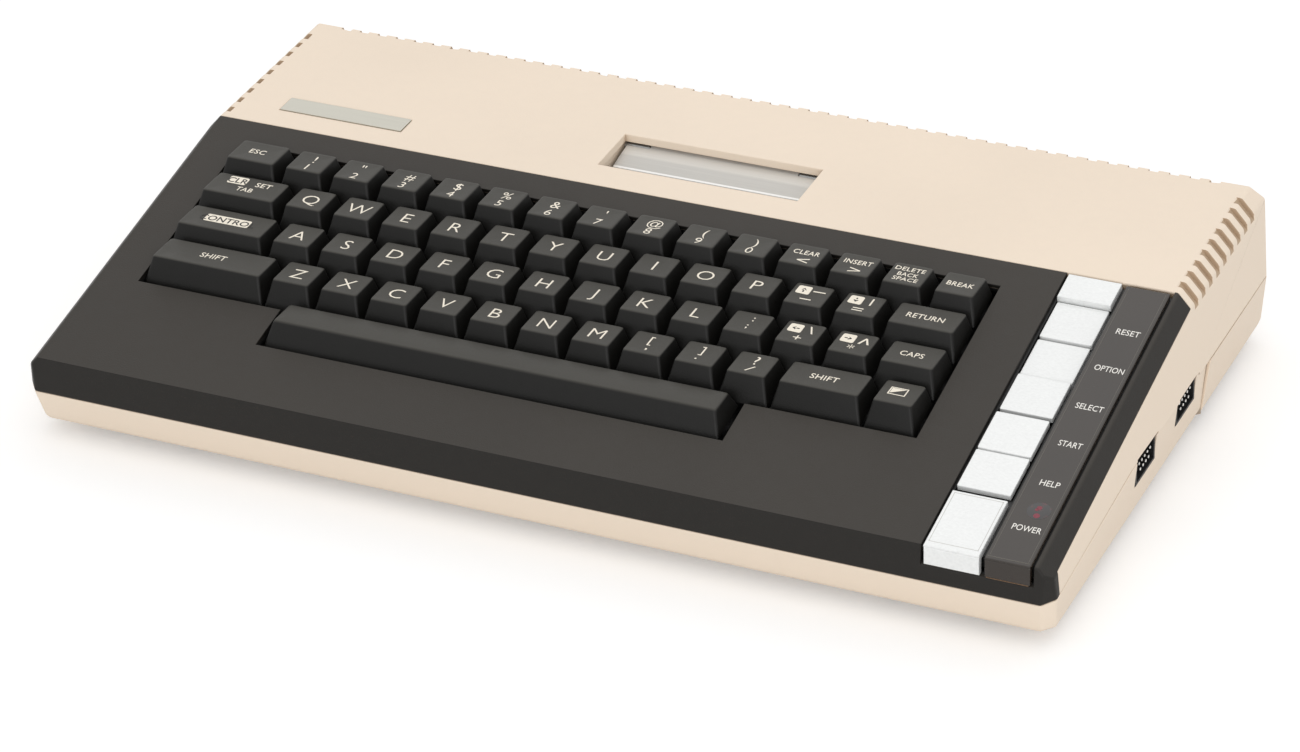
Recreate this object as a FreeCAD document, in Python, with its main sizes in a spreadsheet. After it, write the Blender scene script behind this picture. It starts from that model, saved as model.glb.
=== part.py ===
import FreeCAD, Part
import math
import os
import re

import Sketcher

# Vintage home computer with a built-in keyboard.
# Two working frames are used. The case frame has x to the right, y rearwards from the front
# face and z up from the underside of the case. The slope frame lies on the dark top panel:
# x to the right, y up the slope from its front edge and z square to the panel.
# Every finished sub-part is placed from its frame into the part's own frame, whose origin is
# the centre of the footprint at the level of the feet.

SIZES = [
    # casing outline
    ("case_width", 381.0),
    ("case_depth", 222.0),
    ("seam_front", 13.8),
    ("seam_rear", 22.0),
    ("seam_knee", 76.0),
    ("panel_inset", 1.2),
    ("panel_front_height", 27.2),
    ("panel_run", 136.0),
    ("panel_rise", 27.55),
    ("deck_run", 77.4),
    ("deck_rise", 1.7),
    ("rear_chamfer_drop", 8.4),
    ("rear_chamfer_run", 4.9),
    ("side_chamfer_run", 4.6),
    ("side_chamfer_drop", 5.2),
    ("side_lean", 2.7),
    ("corner_run_x", 5.9),
    ("corner_run_y", 7.3),
    ("base_inset_front", 4.9),
    ("base_inset_rear", 5.0),
    ("base_inset_side", 2.8),
    ("base_corner_inset", 6.6),
    ("bay_depth", 1.25),
    ("bay_foot_depth", 0.6),
    ("bay_end", 152.0),
    ("lower_wall", 3.0),
    ("upper_wall", 3.0),
    ("bezel_skin", 1.5),
    ("foot_height", 5.0),
    ("foot_radius", 6.0),
    ("foot_seat", 0.6),
    ("foot_from_side", 26.0),
    ("foot_from_end", 22.0),
    # grooves over the rear and side chamfers
    ("groove_width", 3.6),
    ("groove_depth", 1.5),
    ("groove_pitch", 7.6),
    ("rear_groove_count", 46),
    ("side_groove_count", 9),
    ("side_groove_start", 5.6),
    # keyboard
    ("key_pitch", 19.05),
    ("bank_units", 15.25),
    ("keys_left", -167.7),
    ("keys_front", 48.2),
    ("well_margin", 1.4),
    ("well_front_margin", 1.6),
    ("well_notch_margin", 0.8),
    ("bar_front", 29.15),
    ("bar_start_units", 3.0),
    ("bar_units", 9.0),
    ("cap_base", 18.0),
    ("cap_side_slope", 2.2),
    ("cap_front_slope", 5.3),
    ("cap_rear_slope", -1.0),
    ("cap_top", 6.2),
    ("cap_top_run", 13.4),
    ("bar_end_slope", 2.4),
    ("bar_front_slope", 5.7),
    ("bar_rear_slope", 1.1),
    ("bar_top", 5.5),
    ("bar_top_run", 11.5),
    ("cap_skirt", 2.5),
    ("cap_wall", 1.2),
    ("key_travel", 3.8),
    ("stem_radius", 2.0),
    ("stem_gap", 0.06),
    ("tower_radius", 3.0),
    ("tower_top", 5.0),
    ("spring_wall", 0.4),
    ("spring_top", 2.1),
    ("guide_span", 60.0),
    ("frame_top", 10.0),
    ("frame_plate", 2.0),
    ("frame_rim", 2.0),
    ("frame_overlap", 4.0),
    ("frame_front", 24.0),
    ("frame_rear", 134.0),
    ("membrane_gap", 0.3),
    ("membrane_thickness", 0.4),
    ("backplate_thickness", 1.2),
    # console key column
    ("strip_left", 143.7),
    ("strip_width", 38.2),
    ("strip_depth", 7.0),
    ("strip_gap", 0.1),
    ("silver_left", 144.9),
    ("silver_width", 18.9),
    ("silver_height", 1.0),
    ("silver_base", 1.6),
    ("front_trim_length", 25.7),
    ("rear_trim_start", 125.3),
    ("rear_trim_length", 12.0),
    ("help_place", 37.8),
    ("start_place", 56.8),
    ("select_place", 77.4),
    ("option_place", 96.4),
    ("reset_place", 115.7),
    ("help_top", 0.45),
    ("start_top", 0.5),
    ("select_top", -0.5),
    ("option_top", -1.5),
    ("reset_top", -1.1),
    ("console_key_length", 18.3),
    ("console_key_depth", 2.0),
    ("console_stem", 2.5),
    ("tray_floor", 1.5),
    ("tray_front", 2.2),
    ("key_play", 0.4),
    ("label_left", 165.6),
    ("label_width", 15.4),
    ("label_length", 136.8),
    ("label_height", 0.8),
    ("wrap_bottom", 20.5),
    ("wrap_thickness", 1.5),
    ("lamp_place", 24.7),
    ("lamp_radius", 2.5),
    # cartridge slot
    ("slot_centre", 0.4),
    ("slot_width", 76.8),
    ("slot_front", 14.0),
    ("slot_depth", 23.6),
    ("slot_wall", 1.5),
    ("slot_end_room", 0.6),
    ("slot_swing_room", 4.4),
    ("door_play", 0.6),
    ("door_gap", 0.6),
    ("door_parting", 10.7),
    ("door_thickness", 1.0),
    ("door_edge_drop", 3.9),
    ("door_bend_drop", 5.0),
    ("door_tip_drop", 6.6),
    ("door_bend_share", 0.5),
    ("hinge_setback", 1.7),
    ("hinge_drop", 5.5),
    ("knuckle_radius", 1.7),
    ("hinge_pin_radius", 1.0),
    ("hinge_gap", 0.05),
    ("door_spring_length", 9.0),
    ("door_spring_outer", 1.6),
    ("door_spring_inner", 1.15),
    # nameplate, left bare
    ("plate_left", -164.8),
    ("plate_front", 11.3),
    ("plate_width", 49.5),
    ("plate_depth", 9.3),
    ("plate_sink", 0.4),
    ("plate_proud", 0.3),
    ("plate_gap", 0.1),
    # boards and sockets
    ("board_bottom", 6.5),
    ("board_thickness", 1.6),
    ("board_left", -172.0),
    ("board_right", 177.0),
    ("board_front", 26.0),
    ("board_rear", 213.0),
    ("socket_height", 17.6),
    ("port_first", 90.0),
    ("port_pitch", 41.3),
    ("port_opening", 20.0),
    ("port_rise", 11.0),
    ("port_body", 31.0),
    ("port_recess", 1.5),
    ("port_cavity", 6.0),
    ("port_pin", 0.5),
    ("opening_gap", 0.3),
    ("rear_recess", 1.4),
    ("body_setback", 5.2),
    ("socket_block_depth", 14.0),
    ("power_in_place", 105.0),
    ("monitor_place", 5.0),
    ("peripheral_place", -140.0),
    ("rocker_place", 145.0),
    ("modulator_place", 55.0),
    ("tv_jack_offset", -14.0),
    ("channel_offset", 13.0),
    ("bus_left", -110.0),
    ("bus_width", 70.0),
    ("bus_bottom", 9.0),
    ("bus_height", 10.5),
    ("barrel_radius", 7.9),
    ("plug_radius", 6.8),
    ("plug_recess", 2.5),
    ("contact_circle", 4.4),
    ("contact_radius", 0.8),
    ("contact_proud", 0.25),
    # fasteners
    ("screw_radius", 1.5),
    ("screw_head", 3.0),
    ("screw_seat", 4.0),
    ("screw_length", 18.0),
    ("boss_radius", 5.0),
    ("boss_top", 12.0),
    ("post_radius", 4.0),
    ("front_screw_x", 130.0),
    ("front_screw_y", 16.0),
    ("rear_screw_x", 165.0),
    ("rear_screw_y", 190.0),
]

doc = FreeCAD.newDocument("home_computer")
sheet = doc.addObject("Spreadsheet::Sheet", "Sizes")
for row, (alias, value) in enumerate(SIZES, start=1):
    sheet.set("A%d" % row, alias)
    sheet.set("B%d" % row, str(value))
    sheet.setAlias("B%d" % row, alias)
doc.recompute()

size = {alias: float(sheet.get(alias)) for alias, _ in SIZES}
ALIAS = re.compile(r"\b(" + "|".join(sorted(size, key=len, reverse=True)) + r")\b")
V = FreeCAD.Vector
FAR = 400.0
REACH = 30.0


def bound(text):
    """Writes a size formula so that it reads the sheet's cells."""
    return ALIAS.sub(r"Sizes.\1", str(text))


def worth(text):
    """The number that a size formula gives, for placing tilted planes."""
    return FreeCAD.Units.Quantity(str(sheet.evalExpression(ALIAS.sub(r"\1", str(text))))).Value


def bind(thing, **formulas):
    """Ties properties to size formulas; a double underscore stands for a dot."""
    for name, text in formulas.items():
        thing.setExpression(name.replace("__", "."), bound(text))
    return thing


def place(thing, x, y, z):
    return bind(thing, Placement__Base__x=x, Placement__Base__y=y, Placement__Base__z=z)


def box(name, x, y, z, wide, deep, tall):
    made = doc.addObject("Part::Box", name)
    bind(made, Length=wide, Width=deep, Height=tall)
    return place(made, x, y, z)


TURNS = {"x": (V(0, 1, 0), 90), "y": (V(1, 0, 0), -90), "z": (V(0, 0, 1), 0)}


def rod(name, x, y, z, radius, length, along="z"):
    made = doc.addObject("Part::Cylinder", name)
    bind(made, Radius=radius, Height=length)
    made.Placement = FreeCAD.Placement(V(0, 0, 0), FreeCAD.Rotation(*TURNS[along]))
    return place(made, x, y, z)


def group(name, pieces):
    made = doc.addObject("Part::Compound", name)
    made.Links = pieces
    return made


def fuse(name, pieces):
    if len(pieces) == 1:
        return pieces[0]
    made = doc.addObject("Part::MultiFuse", name)
    made.Shapes = pieces
    return made


def cut(name, base, tools):
    made = doc.addObject("Part::Cut", name)
    made.Base = base
    made.Tool = fuse(name + "_tools", tools)
    return made


def common(name, pieces):
    made = doc.addObject("Part::MultiCommon", name)
    made.Shapes = pieces
    return made


def prism(name, plane, points, length, offset="0", midplane=False):
    """A padded outline whose corners are size formulas in the plane's own directions."""
    body = doc.addObject("PartDesign::Body", name)
    origin_plane = next(o for o in body.Origin.OriginFeatures if o.Role == plane)
    sketch = body.newObject("Sketcher::SketchObject", name + "_outline")
    sketch.AttachmentSupport = [(origin_plane, "")]
    sketch.MapMode = "FlatFace"
    bind(sketch, AttachmentOffset__Base__z=offset)
    spots = [V(worth(u), worth(v), 0) for u, v in points]
    count = len(spots)
    for i in range(count):
        sketch.addGeometry(Part.LineSegment(spots[i], spots[(i + 1) % count]), False)
    for i in range(count):
        sketch.addConstraint(Sketcher.Constraint("Coincident", i, 2, (i + 1) % count, 1))
    for i, (u, v) in enumerate(points):
        for kind, value, text in (("DistanceX", spots[i].x, u), ("DistanceY", spots[i].y, v)):
            number = sketch.addConstraint(Sketcher.Constraint(kind, -1, 1, i, 1, value))
            sketch.setExpression("Constraints[%d]" % number, bound(text))
    pad = body.newObject("PartDesign::Pad", name + "_pad")
    pad.Profile = sketch
    pad.Midplane = midplane
    bind(pad, Length=length)
    return body


def keep_side(name, first, second, third, inside, inset=0.0):
    """A big block whose one face lies on the plane of three points, moved inwards by inset."""
    normal = (second - first).cross(third - first)
    normal.normalize()
    if normal.dot(inside - first) < 0:
        normal = normal * -1
    made = doc.addObject("Part::Box", name)
    made.Length = 2 * FAR
    made.Width = 2 * FAR
    made.Height = 2 * FAR
    turn = FreeCAD.Rotation(V(0, 0, 1), normal)
    corner = first + normal * inset + turn.multVec(V(-FAR, -FAR, 0))
    made.Placement = FreeCAD.Placement(corner, turn)
    return made


# Frames
slope_angle = math.atan2(size["panel_rise"], size["panel_run"])
deck_angle = math.atan2(size["deck_rise"], size["deck_run"])
CASE = FreeCAD.Placement(V(0, -size["case_depth"] / 2, size["foot_height"]), FreeCAD.Rotation())
SLOPE_IN_CASE = FreeCAD.Placement(
    V(0, size["panel_inset"], size["panel_front_height"]),
    FreeCAD.Rotation(V(1, 0, 0), math.degrees(slope_angle)))
SLOPE = CASE.multiply(SLOPE_IN_CASE)
DECK_IN_CASE = FreeCAD.Placement(
    V(0, size["panel_inset"] + size["panel_run"], size["panel_front_height"] + size["panel_rise"]),
    FreeCAD.Rotation(V(1, 0, 0), math.degrees(deck_angle)))
DECK = CASE.multiply(DECK_IN_CASE)
NODES = []


def node(label, pieces, frame=CASE):
    """Names a finished sub-part and places it from its working frame."""
    made = pieces if not isinstance(pieces, list) else group(label + "_node", pieces)
    made.Label = label
    made.Placement = frame
    NODES.append(made)
    return made


def tilted(name, pieces, frame):
    """Pieces of a tilted frame brought into the case frame."""
    made = group(name, pieces)
    made.Placement = frame
    return made


# Outline of the casing, worked out from the driving sizes
half = size["case_width"] / 2
hip_y = size["panel_inset"] + size["panel_run"]
hip_z = size["panel_front_height"] + size["panel_rise"]
deck_end_y = hip_y + size["deck_run"]
deck_end_z = hip_z + size["deck_rise"]
shoulder = half - size["side_lean"]
flat_half = shoulder - size["side_chamfer_run"]
corner_x = half - size["corner_run_x"]
rear_top_y = deck_end_y + size["rear_chamfer_run"]
rear_top_z = deck_end_z - size["rear_chamfer_drop"]
MIDDLE = V(0, size["case_depth"] / 2, size["seam_rear"])
lean = size["side_lean"] / (deck_end_z - size["side_chamfer_drop"] - size["seam_rear"])


def upper_form(name, inset):
    """The closed top of the wedge, every face moved inwards by inset; it runs below the seam."""
    front = V(0, 0, size["seam_front"])
    lip = V(0, size["panel_inset"], size["panel_front_height"])
    hip = V(0, hip_y, hip_z)
    deck_end = V(0, deck_end_y, deck_end_z)
    rear_top = V(0, rear_top_y, rear_top_z)
    rear = V(0, size["case_depth"], size["seam_rear"])
    across = V(1, 0, 0)
    faces = [(front, lip), (lip, hip), (hip, deck_end), (deck_end, rear_top), (rear_top, rear)]
    sides = [keep_side("%s_line%d" % (name, i), a, b, a + across, MIDDLE, inset)
             for i, (a, b) in enumerate(faces)]
    for hand in (-1, 1):
        out = V(hand * size["side_chamfer_run"], 0, -size["side_chamfer_drop"])
        down = V(hand * lean, 0, -1)
        for part_name, start, end in (("panel", lip, hip), ("deck", hip, deck_end)):
            edge = start + V(hand * flat_half, 0, 0)
            along = end - start
            tag = "%s_%s%s" % (name, part_name, "r" if hand > 0 else "l")
            sides.append(keep_side(tag + "_chamfer", edge, edge + along, edge + out, MIDDLE, inset))
            low = edge + out
            sides.append(keep_side(tag + "_wall", low, low + along, low + down, MIDDLE, inset))
        for end_y, step in ((0, size["corner_run_y"]), (size["case_depth"], -size["corner_run_y"])):
            a = V(hand * corner_x, end_y, 0)
            b = V(hand * half, end_y + step, 0)
            tag = "%s_corner%d%s" % (name, end_y > 0, "r" if hand > 0 else "l")
            sides.append(keep_side(tag, a, b, a + V(0, 0, 1), MIDDLE, inset))
    floor = keep_side(name + "_floor", V(0, 0, 0), V(1, 0, 0), V(0, 1, 0), MIDDLE)
    return common(name, sides + [floor])


def lower_form(name, inset):
    """The closed tub below the seam, every face moved inwards by inset; it runs above the seam."""
    bottom_front = V(0, size["base_inset_front"], 0)
    seam_front = V(0, 0, size["seam_front"])
    seam_rear = V(0, size["case_depth"], size["seam_rear"])
    bottom_rear = V(0, size["case_depth"] - size["base_inset_rear"], 0)
    across = V(1, 0, 0)
    sides = [
        keep_side(name + "_front", bottom_front, seam_front, seam_front + across, MIDDLE, inset),
        keep_side(name + "_rear", bottom_rear, seam_rear, seam_rear + across, MIDDLE, inset),
        keep_side(name + "_base", V(0, 0, 0), V(1, 0, 0), V(0, 1, 0), MIDDLE, inset)]
    for hand in (-1, 1):
        tag = name + ("_r" if hand > 0 else "_l")
        top = V(hand * half, 0, size["seam_rear"])
        foot = V(hand * (half - size["base_inset_side"]), 0, 0)
        sides.append(keep_side(tag + "_wall", top, foot, foot + V(0, 1, 0), MIDDLE, inset))
        a = V(hand * corner_x, 0, size["seam_front"])
        b = V(hand * half, size["corner_run_y"], size["seam_front"])
        c = V(hand * (half - size["base_corner_inset"]), size["base_inset_front"], 0)
        sides.append(keep_side(tag + "_front_corner", a, b, c, MIDDLE, inset))
        a = V(hand * corner_x, size["case_depth"], 0)
        b = V(hand * half, size["case_depth"] - size["corner_run_y"], 0)
        sides.append(keep_side(tag + "_rear_corner", a, b, a + V(0, 0, 1), MIDDLE, inset))
    return common(name, sides)


def below_seam(name, reach="REACH"):
    """Everything below the parting line, which climbs from the front lip and then runs level."""
    outline = [("0 - %g" % REACH, "0 - %g" % REACH),
               ("case_depth + %g" % REACH, "0 - %g" % REACH),
               ("case_depth + %g" % REACH, "seam_rear"),
               ("seam_knee", "seam_rear"),
               ("0", "seam_front"),
               ("0 - %g" % REACH, "seam_front")]
    return prism(name, "YZ_Plane", outline, "case_width + %g" % REACH, midplane=True)


# Shared cutters
KEYS_WIDE = "bank_units * key_pitch"
WELL = {
    "x": "keys_left - 0.2",
    "y": "keys_front - well_front_margin",
    "wide": "%s + well_margin + 0.2" % KEYS_WIDE,
    "deep": "4 * key_pitch + 2 * well_front_margin",
}
NOTCH = {
    "x": "keys_left + bar_start_units * key_pitch - well_notch_margin",
    "y": "bar_front - well_front_margin",
    "wide": "bar_units * key_pitch + 2.2 + well_notch_margin",
    "deep": "keys_front - bar_front + 1",
}


def well_cutters(name):
    tall = str(2 * REACH)
    pieces = [box("%s_%s" % (name, tag), area["x"], area["y"], "0 - %g" % REACH,
                  area["wide"], area["deep"], tall)
              for tag, area in (("well", WELL), ("notch", NOTCH))]
    return tilted(name, [fuse(name + "_fused", pieces)], SLOPE_IN_CASE)


def strip_cutter(name):
    piece = box(name + "_slot", "strip_left", "0 - %g" % REACH, "0 - strip_depth", "strip_width",
                "%g + panel_run / cos(atan(panel_rise / panel_run))" % REACH, str(2 * REACH))
    return tilted(name, [piece], SLOPE_IN_CASE)


def port_windows(name):
    tall = "port_rise"
    pieces = [box("%s_%d" % (name, i), "case_width / 2 - 12",
                  "port_first + %d * port_pitch - port_opening / 2" % i,
                  "socket_height - port_rise / 2 + 0.15", "24", "port_opening", tall)
              for i in range(2)]
    return pieces


REAR_FACE = "case_depth - base_inset_rear * (1 - socket_height / seam_rear)"


def rear_windows(name):
    """Openings of the rear wall, shared by both halves of the casing."""
    start = "case_depth - 12"
    pieces = [rod("%s_power" % name, "power_in_place", start, "socket_height",
                  "barrel_radius + opening_gap", "24", "y"),
              rod("%s_monitor" % name, "monitor_place", start, "socket_height",
                  "barrel_radius + opening_gap", "24", "y"),
              rod("%s_tv" % name, "modulator_place + tv_jack_offset", start, "socket_height",
                  "6.5", "24", "y"),
              box("%s_channel" % name, "modulator_place + channel_offset - 5.5", start,
                  "socket_height - 2.6", "11", "24", "5.2"),
              box("%s_peripheral" % name, "peripheral_place - 18 - opening_gap", start,
                  "socket_height - 5.5 - opening_gap", "36 + 2 * opening_gap", "24",
                  "11 + 2 * opening_gap"),
              box("%s_rocker" % name, "rocker_place - 11.2 - opening_gap", start,
                  "socket_height - 7.2 - opening_gap", "22.4 + 2 * opening_gap", "24",
                  "14.4 + 2 * opening_gap"),
              box("%s_bus" % name, "bus_left", start, "bus_bottom", "bus_width", "24",
                  "bus_height")]
    return pieces


def grooves(name):
    """Shallow grooves cut parallel to the rear and side chamfers."""
    pieces = []
    depth = size["groove_depth"]
    width = size["groove_width"]
    pitch = size["groove_pitch"]
    deck_length = math.hypot(size["deck_run"], size["deck_rise"])
    tilt = math.degrees(math.atan2(size["rear_chamfer_drop"], size["rear_chamfer_run"]))
    count = int(size["rear_groove_count"])
    for i in range(count):
        made = doc.addObject("Part::Box", "%s_rear%d" % (name, i))
        bind(made, Length="groove_width", Width=str(2 * REACH), Height=str(REACH))
        turn = FreeCAD.Rotation(V(1, 0, 0), -tilt)
        at_x = (i - (count - 1) / 2) * pitch - width / 2
        base = V(at_x, deck_end_y, deck_end_z) - turn.multVec(V(0, REACH, depth))
        made.Placement = FreeCAD.Placement(base, turn)
        pieces.append(made)
    for hand in (-1, 1):
        for i in range(int(size["side_groove_count"])):
            made = doc.addObject("Part::Box", "%s_side%d%s" % (name, i, "r" if hand > 0 else "l"))
            bind(made, Length=str(2 * REACH), Width="groove_width", Height=str(REACH))
            lay = math.degrees(math.atan2(size["side_chamfer_drop"], size["side_chamfer_run"]))
            turn = FreeCAD.Rotation(V(0, 1, 0), hand * lay)
            share = (size["side_groove_start"] + i * pitch) / deck_length
            edge = V(hand * flat_half, hip_y + share * size["deck_run"] - width / 2,
                     hip_z + share * size["deck_rise"])
            base = edge - turn.multVec(V(REACH, 0, depth))
            made.Placement = FreeCAD.Placement(base, turn)
            pieces.append(made)
    return group(name, pieces)


SCREWS = [("front_left", "0 - front_screw_x", "front_screw_y", "front"),
          ("front_middle", "0", "front_screw_y", "front"),
          ("front_right", "front_screw_x", "front_screw_y", "front"),
          ("rear_left", "0 - rear_screw_x", "rear_screw_y", "rear"),
          ("rear_middle", "0", "rear_screw_y", "rear"),
          ("rear_right", "rear_screw_x", "rear_screw_y", "rear")]
PANEL_OVER_SCREW = "panel_front_height + (front_screw_y - panel_inset) * panel_rise / panel_run"
POST_TOP = {"front": PANEL_OVER_SCREW + " - bezel_skin - 1",
            "rear": "panel_front_height + panel_rise - upper_wall / 2"}


def casing():
    """The beige halves, the dark bezel over the upper one and the openings they share."""
    seam = below_seam("seam_block")
    outer = upper_form("upper_outer", 0)
    under_skin = upper_form("upper_under_skin", size["bezel_skin"])
    inner = upper_form("upper_inner", size["upper_wall"])
    well = well_cutters("well_cutter")
    strip = strip_cutter("strip_cutter")
    ports = port_windows("port_window")
    rear = rear_windows("rear_window")
    dark_region = prism("dark_region", "YZ_Plane", [
        ("0 - %g" % REACH, "0"),
        ("corner_run_y", "0"),
        ("corner_run_y", "panel_front_height - side_chamfer_drop"
                         " + (corner_run_y - panel_inset) * panel_rise / panel_run"),
        ("panel_inset + panel_run", "panel_front_height + panel_rise - side_chamfer_drop"),
        ("panel_inset + panel_run", "panel_front_height + panel_rise + %g" % REACH),
        ("0 - %g" % REACH, "panel_front_height + panel_rise + %g" % REACH)],
        "case_width + %g" % REACH, midplane=True)
    skin = common("bezel_blank", [cut("skin_shell", outer, [under_skin]), dark_region])
    bezel = cut("bezel_cut", skin, [seam, well, strip])
    node("keyboard_bezel", bezel)

    slot = box("slot_opening", "slot_centre - slot_width / 2", "slot_front", "0 - 2 * upper_wall",
               "slot_width", "slot_depth", "4 * upper_wall")
    plate_seat = box("plate_seat", "plate_left", "plate_front", "0 - plate_sink", "plate_width",
                     "plate_depth", "2")
    deck_cuts = tilted("deck_cuts", [slot, plate_seat], DECK_IN_CASE)
    hollow = cut("upper_hollow", outer, [inner, skin, seam, well, strip, deck_cuts])
    posts = []
    pilots = []
    for tag, x, y, zone in SCREWS:
        posts.append(rod("post_" + tag, x, y, "boss_top", "post_radius",
                         POST_TOP[zone] + " - boss_top"))
        pilots.append(rod("pilot_" + tag, x, y, "0", "screw_radius + 0.04",
                          "screw_seat + screw_length"))
    upper = cut("upper_case_cut", fuse("upper_with_posts", [hollow] + posts),
                pilots + ports + rear + [grooves("grooves")])
    node("upper_case", upper)

    tub = common("lower_outer", [lower_form("lower_form_outer", 0), seam])
    tub_shell = cut("tub_shell", tub, [lower_form("lower_form_inner", size["lower_wall"])])
    bays = []
    for hand in (-1, 1):
        top = V(hand * (half - size["bay_depth"]), 0, size["seam_rear"])
        foot = V(hand * (half - size["base_inset_side"] - size["bay_foot_depth"]), 0, 0)
        outside = V(hand * 2 * half, 0, 0)
        block = keep_side("bay_block%d" % hand, top, foot, foot + V(0, 1, 0), outside)
        reach = box("bay_reach%d" % hand, "%d * case_width - %g" % (hand, FAR), "0 - %g" % REACH,
                    "0 - %g" % REACH, str(2 * FAR), "%g + bay_end" % REACH, str(3 * REACH))
        bays.append(common("bay_cut%d" % hand, [block, reach]))
    bosses = []
    drilled = []
    for tag, x, y, zone in SCREWS:
        bosses.append(rod("boss_" + tag, x, y, "lower_wall / 2", "boss_radius",
                          "boss_top - lower_wall / 2"))
        drilled.append(rod("shank_hole_" + tag, x, y, "0", "screw_radius + 0.3", "2 * boss_top"))
        drilled.append(rod("head_hole_" + tag, x, y, "0 - 1", "screw_head + 0.4",
                           "screw_seat + 1"))
    for i, (x, y) in enumerate(BOARD_RESTS):
        bosses.append(rod("board_rest%d" % i, x, y, "lower_wall / 2", "post_radius",
                          "board_bottom - lower_wall / 2"))
    for i, (x, y) in enumerate(FEET):
        drilled.append(rod("foot_seat%d" % i, x, y, "0 - 1", "foot_radius + 0.1",
                           "foot_seat + 1"))
    lower = cut("lower_case_cut", fuse("tub_with_bosses", [tub_shell] + bosses),
                drilled + bays + ports + rear)
    node("lower_case", lower)


FEET = [(sx + "(case_width / 2 - foot_from_side)", y)
        for sx in ("0 - ", "0 + ")
        for y in ("foot_from_end", "case_depth - foot_from_end")]
BOARD_RESTS = [("0 - 150", "board_front + 14"), ("150", "board_front + 14"),
               ("0 - 120", "board_rear - 60"), ("120", "board_rear - 60")]


def small_fittings():
    """Nameplate, feet and screws."""
    plate = box("plate_blank", "plate_left + plate_gap", "plate_front + plate_gap",
                "0 - plate_sink", "plate_width - 2 * plate_gap", "plate_depth - 2 * plate_gap",
                "plate_sink + plate_proud")
    node("nameplate", [plate], DECK)
    feet = [rod("foot%d" % i, x, y, "0 - foot_height", "foot_radius", "foot_height + foot_seat")
            for i, (x, y) in enumerate(FEET)]
    node("rubber_feet", feet)
    screws = []
    for tag, x, y, zone in SCREWS:
        shank = rod("shank_" + tag, x, y, "screw_seat - 0.5", "screw_radius", "screw_length")
        head = rod("head_" + tag, x, y, "screw_seat - 2.2", "screw_head", "2.2")
        screws.append(fuse("screw_" + tag, [shank, head]))
    node("case_screws", screws)


CAP = {"side": "cap_side_slope", "front": "cap_front_slope", "rear": "cap_rear_slope",
       "top": "cap_top", "run": "cap_top_run"}
BAR = {"side": "bar_end_slope", "front": "bar_front_slope", "rear": "bar_rear_slope",
       "top": "bar_top", "run": "bar_top_run"}


def key_cap(name, x, y, wide, deep, form, stems):
    """A hollow tapered cap on one or more stems; x and y are its lower left front corner.

    Its top lies level while the panel under it slopes, so a tilted lid cuts it off."""
    def taper(tag, room, low, high):
        made = doc.addObject("Part::Wedge", "%s_%s" % (name, tag))
        made.Placement = FreeCAD.Placement(V(0, 0, 0), FreeCAD.Rotation(V(1, 0, 0), 90))
        bind(made, Xmin=room, Xmax="%s - %s" % (wide, room),
             Ymin="0", Ymax="(%s) - (%s)" % (high, low),
             Zmin=room, Zmax="%s - %s" % (deep, room),
             X2min="%s + %s" % (form["side"], room),
             X2max="%s - %s - %s" % (wide, form["side"], room),
             Z2min="%s + %s" % (form["rear"], room),
             Z2max="%s - %s - %s" % (deep, form["front"], room))
        return place(made, x, "%s + %s" % (y, deep), low)

    def level(tag, blank, drop):
        lid = doc.addObject("Part::Box", "%s_%s" % (name, tag))
        lid.Placement = FreeCAD.Placement(
            V(0, 0, 0), FreeCAD.Rotation(V(1, 0, 0), -math.degrees(slope_angle)))
        bind(lid, Length="%s + 2 * cap_wall" % wide, Width="2 * (%s)" % deep, Height=str(REACH))
        place(lid, "%s - cap_wall" % x, "%s + %s - cap_wall" % (y, form["front"]),
              "%s - %s + cap_wall * panel_rise / panel_run" % (form["top"], drop))
        return cut("%s_%s_level" % (name, tag), blank, [lid])
    outside = level("lid", taper("outside", "0", "0 - cap_skirt", form["top"]), "0")
    inside = level("ceiling", taper("inside", "cap_wall", "0 - cap_skirt",
                                    form["top"] + " - cap_wall"), "cap_wall")
    low = "0 - cap_skirt - cap_wall"
    mouth = box(name + "_mouth", "%s + cap_wall" % x, "%s + cap_wall" % y, low,
                "%s - 2 * cap_wall" % wide, "%s - 2 * cap_wall" % deep, "cap_wall")
    shell = cut(name + "_shell", outside, [inside, mouth])
    stem_foot = "0 - frame_top - frame_plate + 0.5"
    rods = [rod("%s_stem%d" % (name, i), sx, sy, stem_foot, "stem_radius",
                "%s - %s / 2 * panel_rise / panel_run - cap_wall / 2 + frame_top + frame_plate"
                " - 0.5" % (form["top"], form["run"]))
            for i, (sx, sy) in enumerate(stems)]
    return fuse(name + "_cap", [shell] + rods)


ROWS = [
    # row from the front, then the keys as (name, units) from the left
    (0, [("left_shift_key", 2.5)] + [("bank_z_to_b", 1)] * 5 + [("bank_n_to_slash", 1)] * 5
        + [("right_shift_key", 1.75), ("symbol_key", 1)]),
    (1, [("control_key", 2)] + [("bank_a_to_g", 1)] * 5 + [("bank_h_to_star", 1)] * 7
        + [("caps_key", 1.25)]),
    (2, [("tab_key", 1.75)] + [("bank_q_to_t", 1)] * 5 + [("bank_y_to_equals", 1)] * 7
        + [("return_key", 1.5)]),
    (3, [("escape_key", 1.25)] + [("bank_1_to_5", 1)] * 5 + [("bank_6_to_right_angle", 1)] * 7
        + [("delete_key", 1), ("break_key", 1)]),
]


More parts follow.
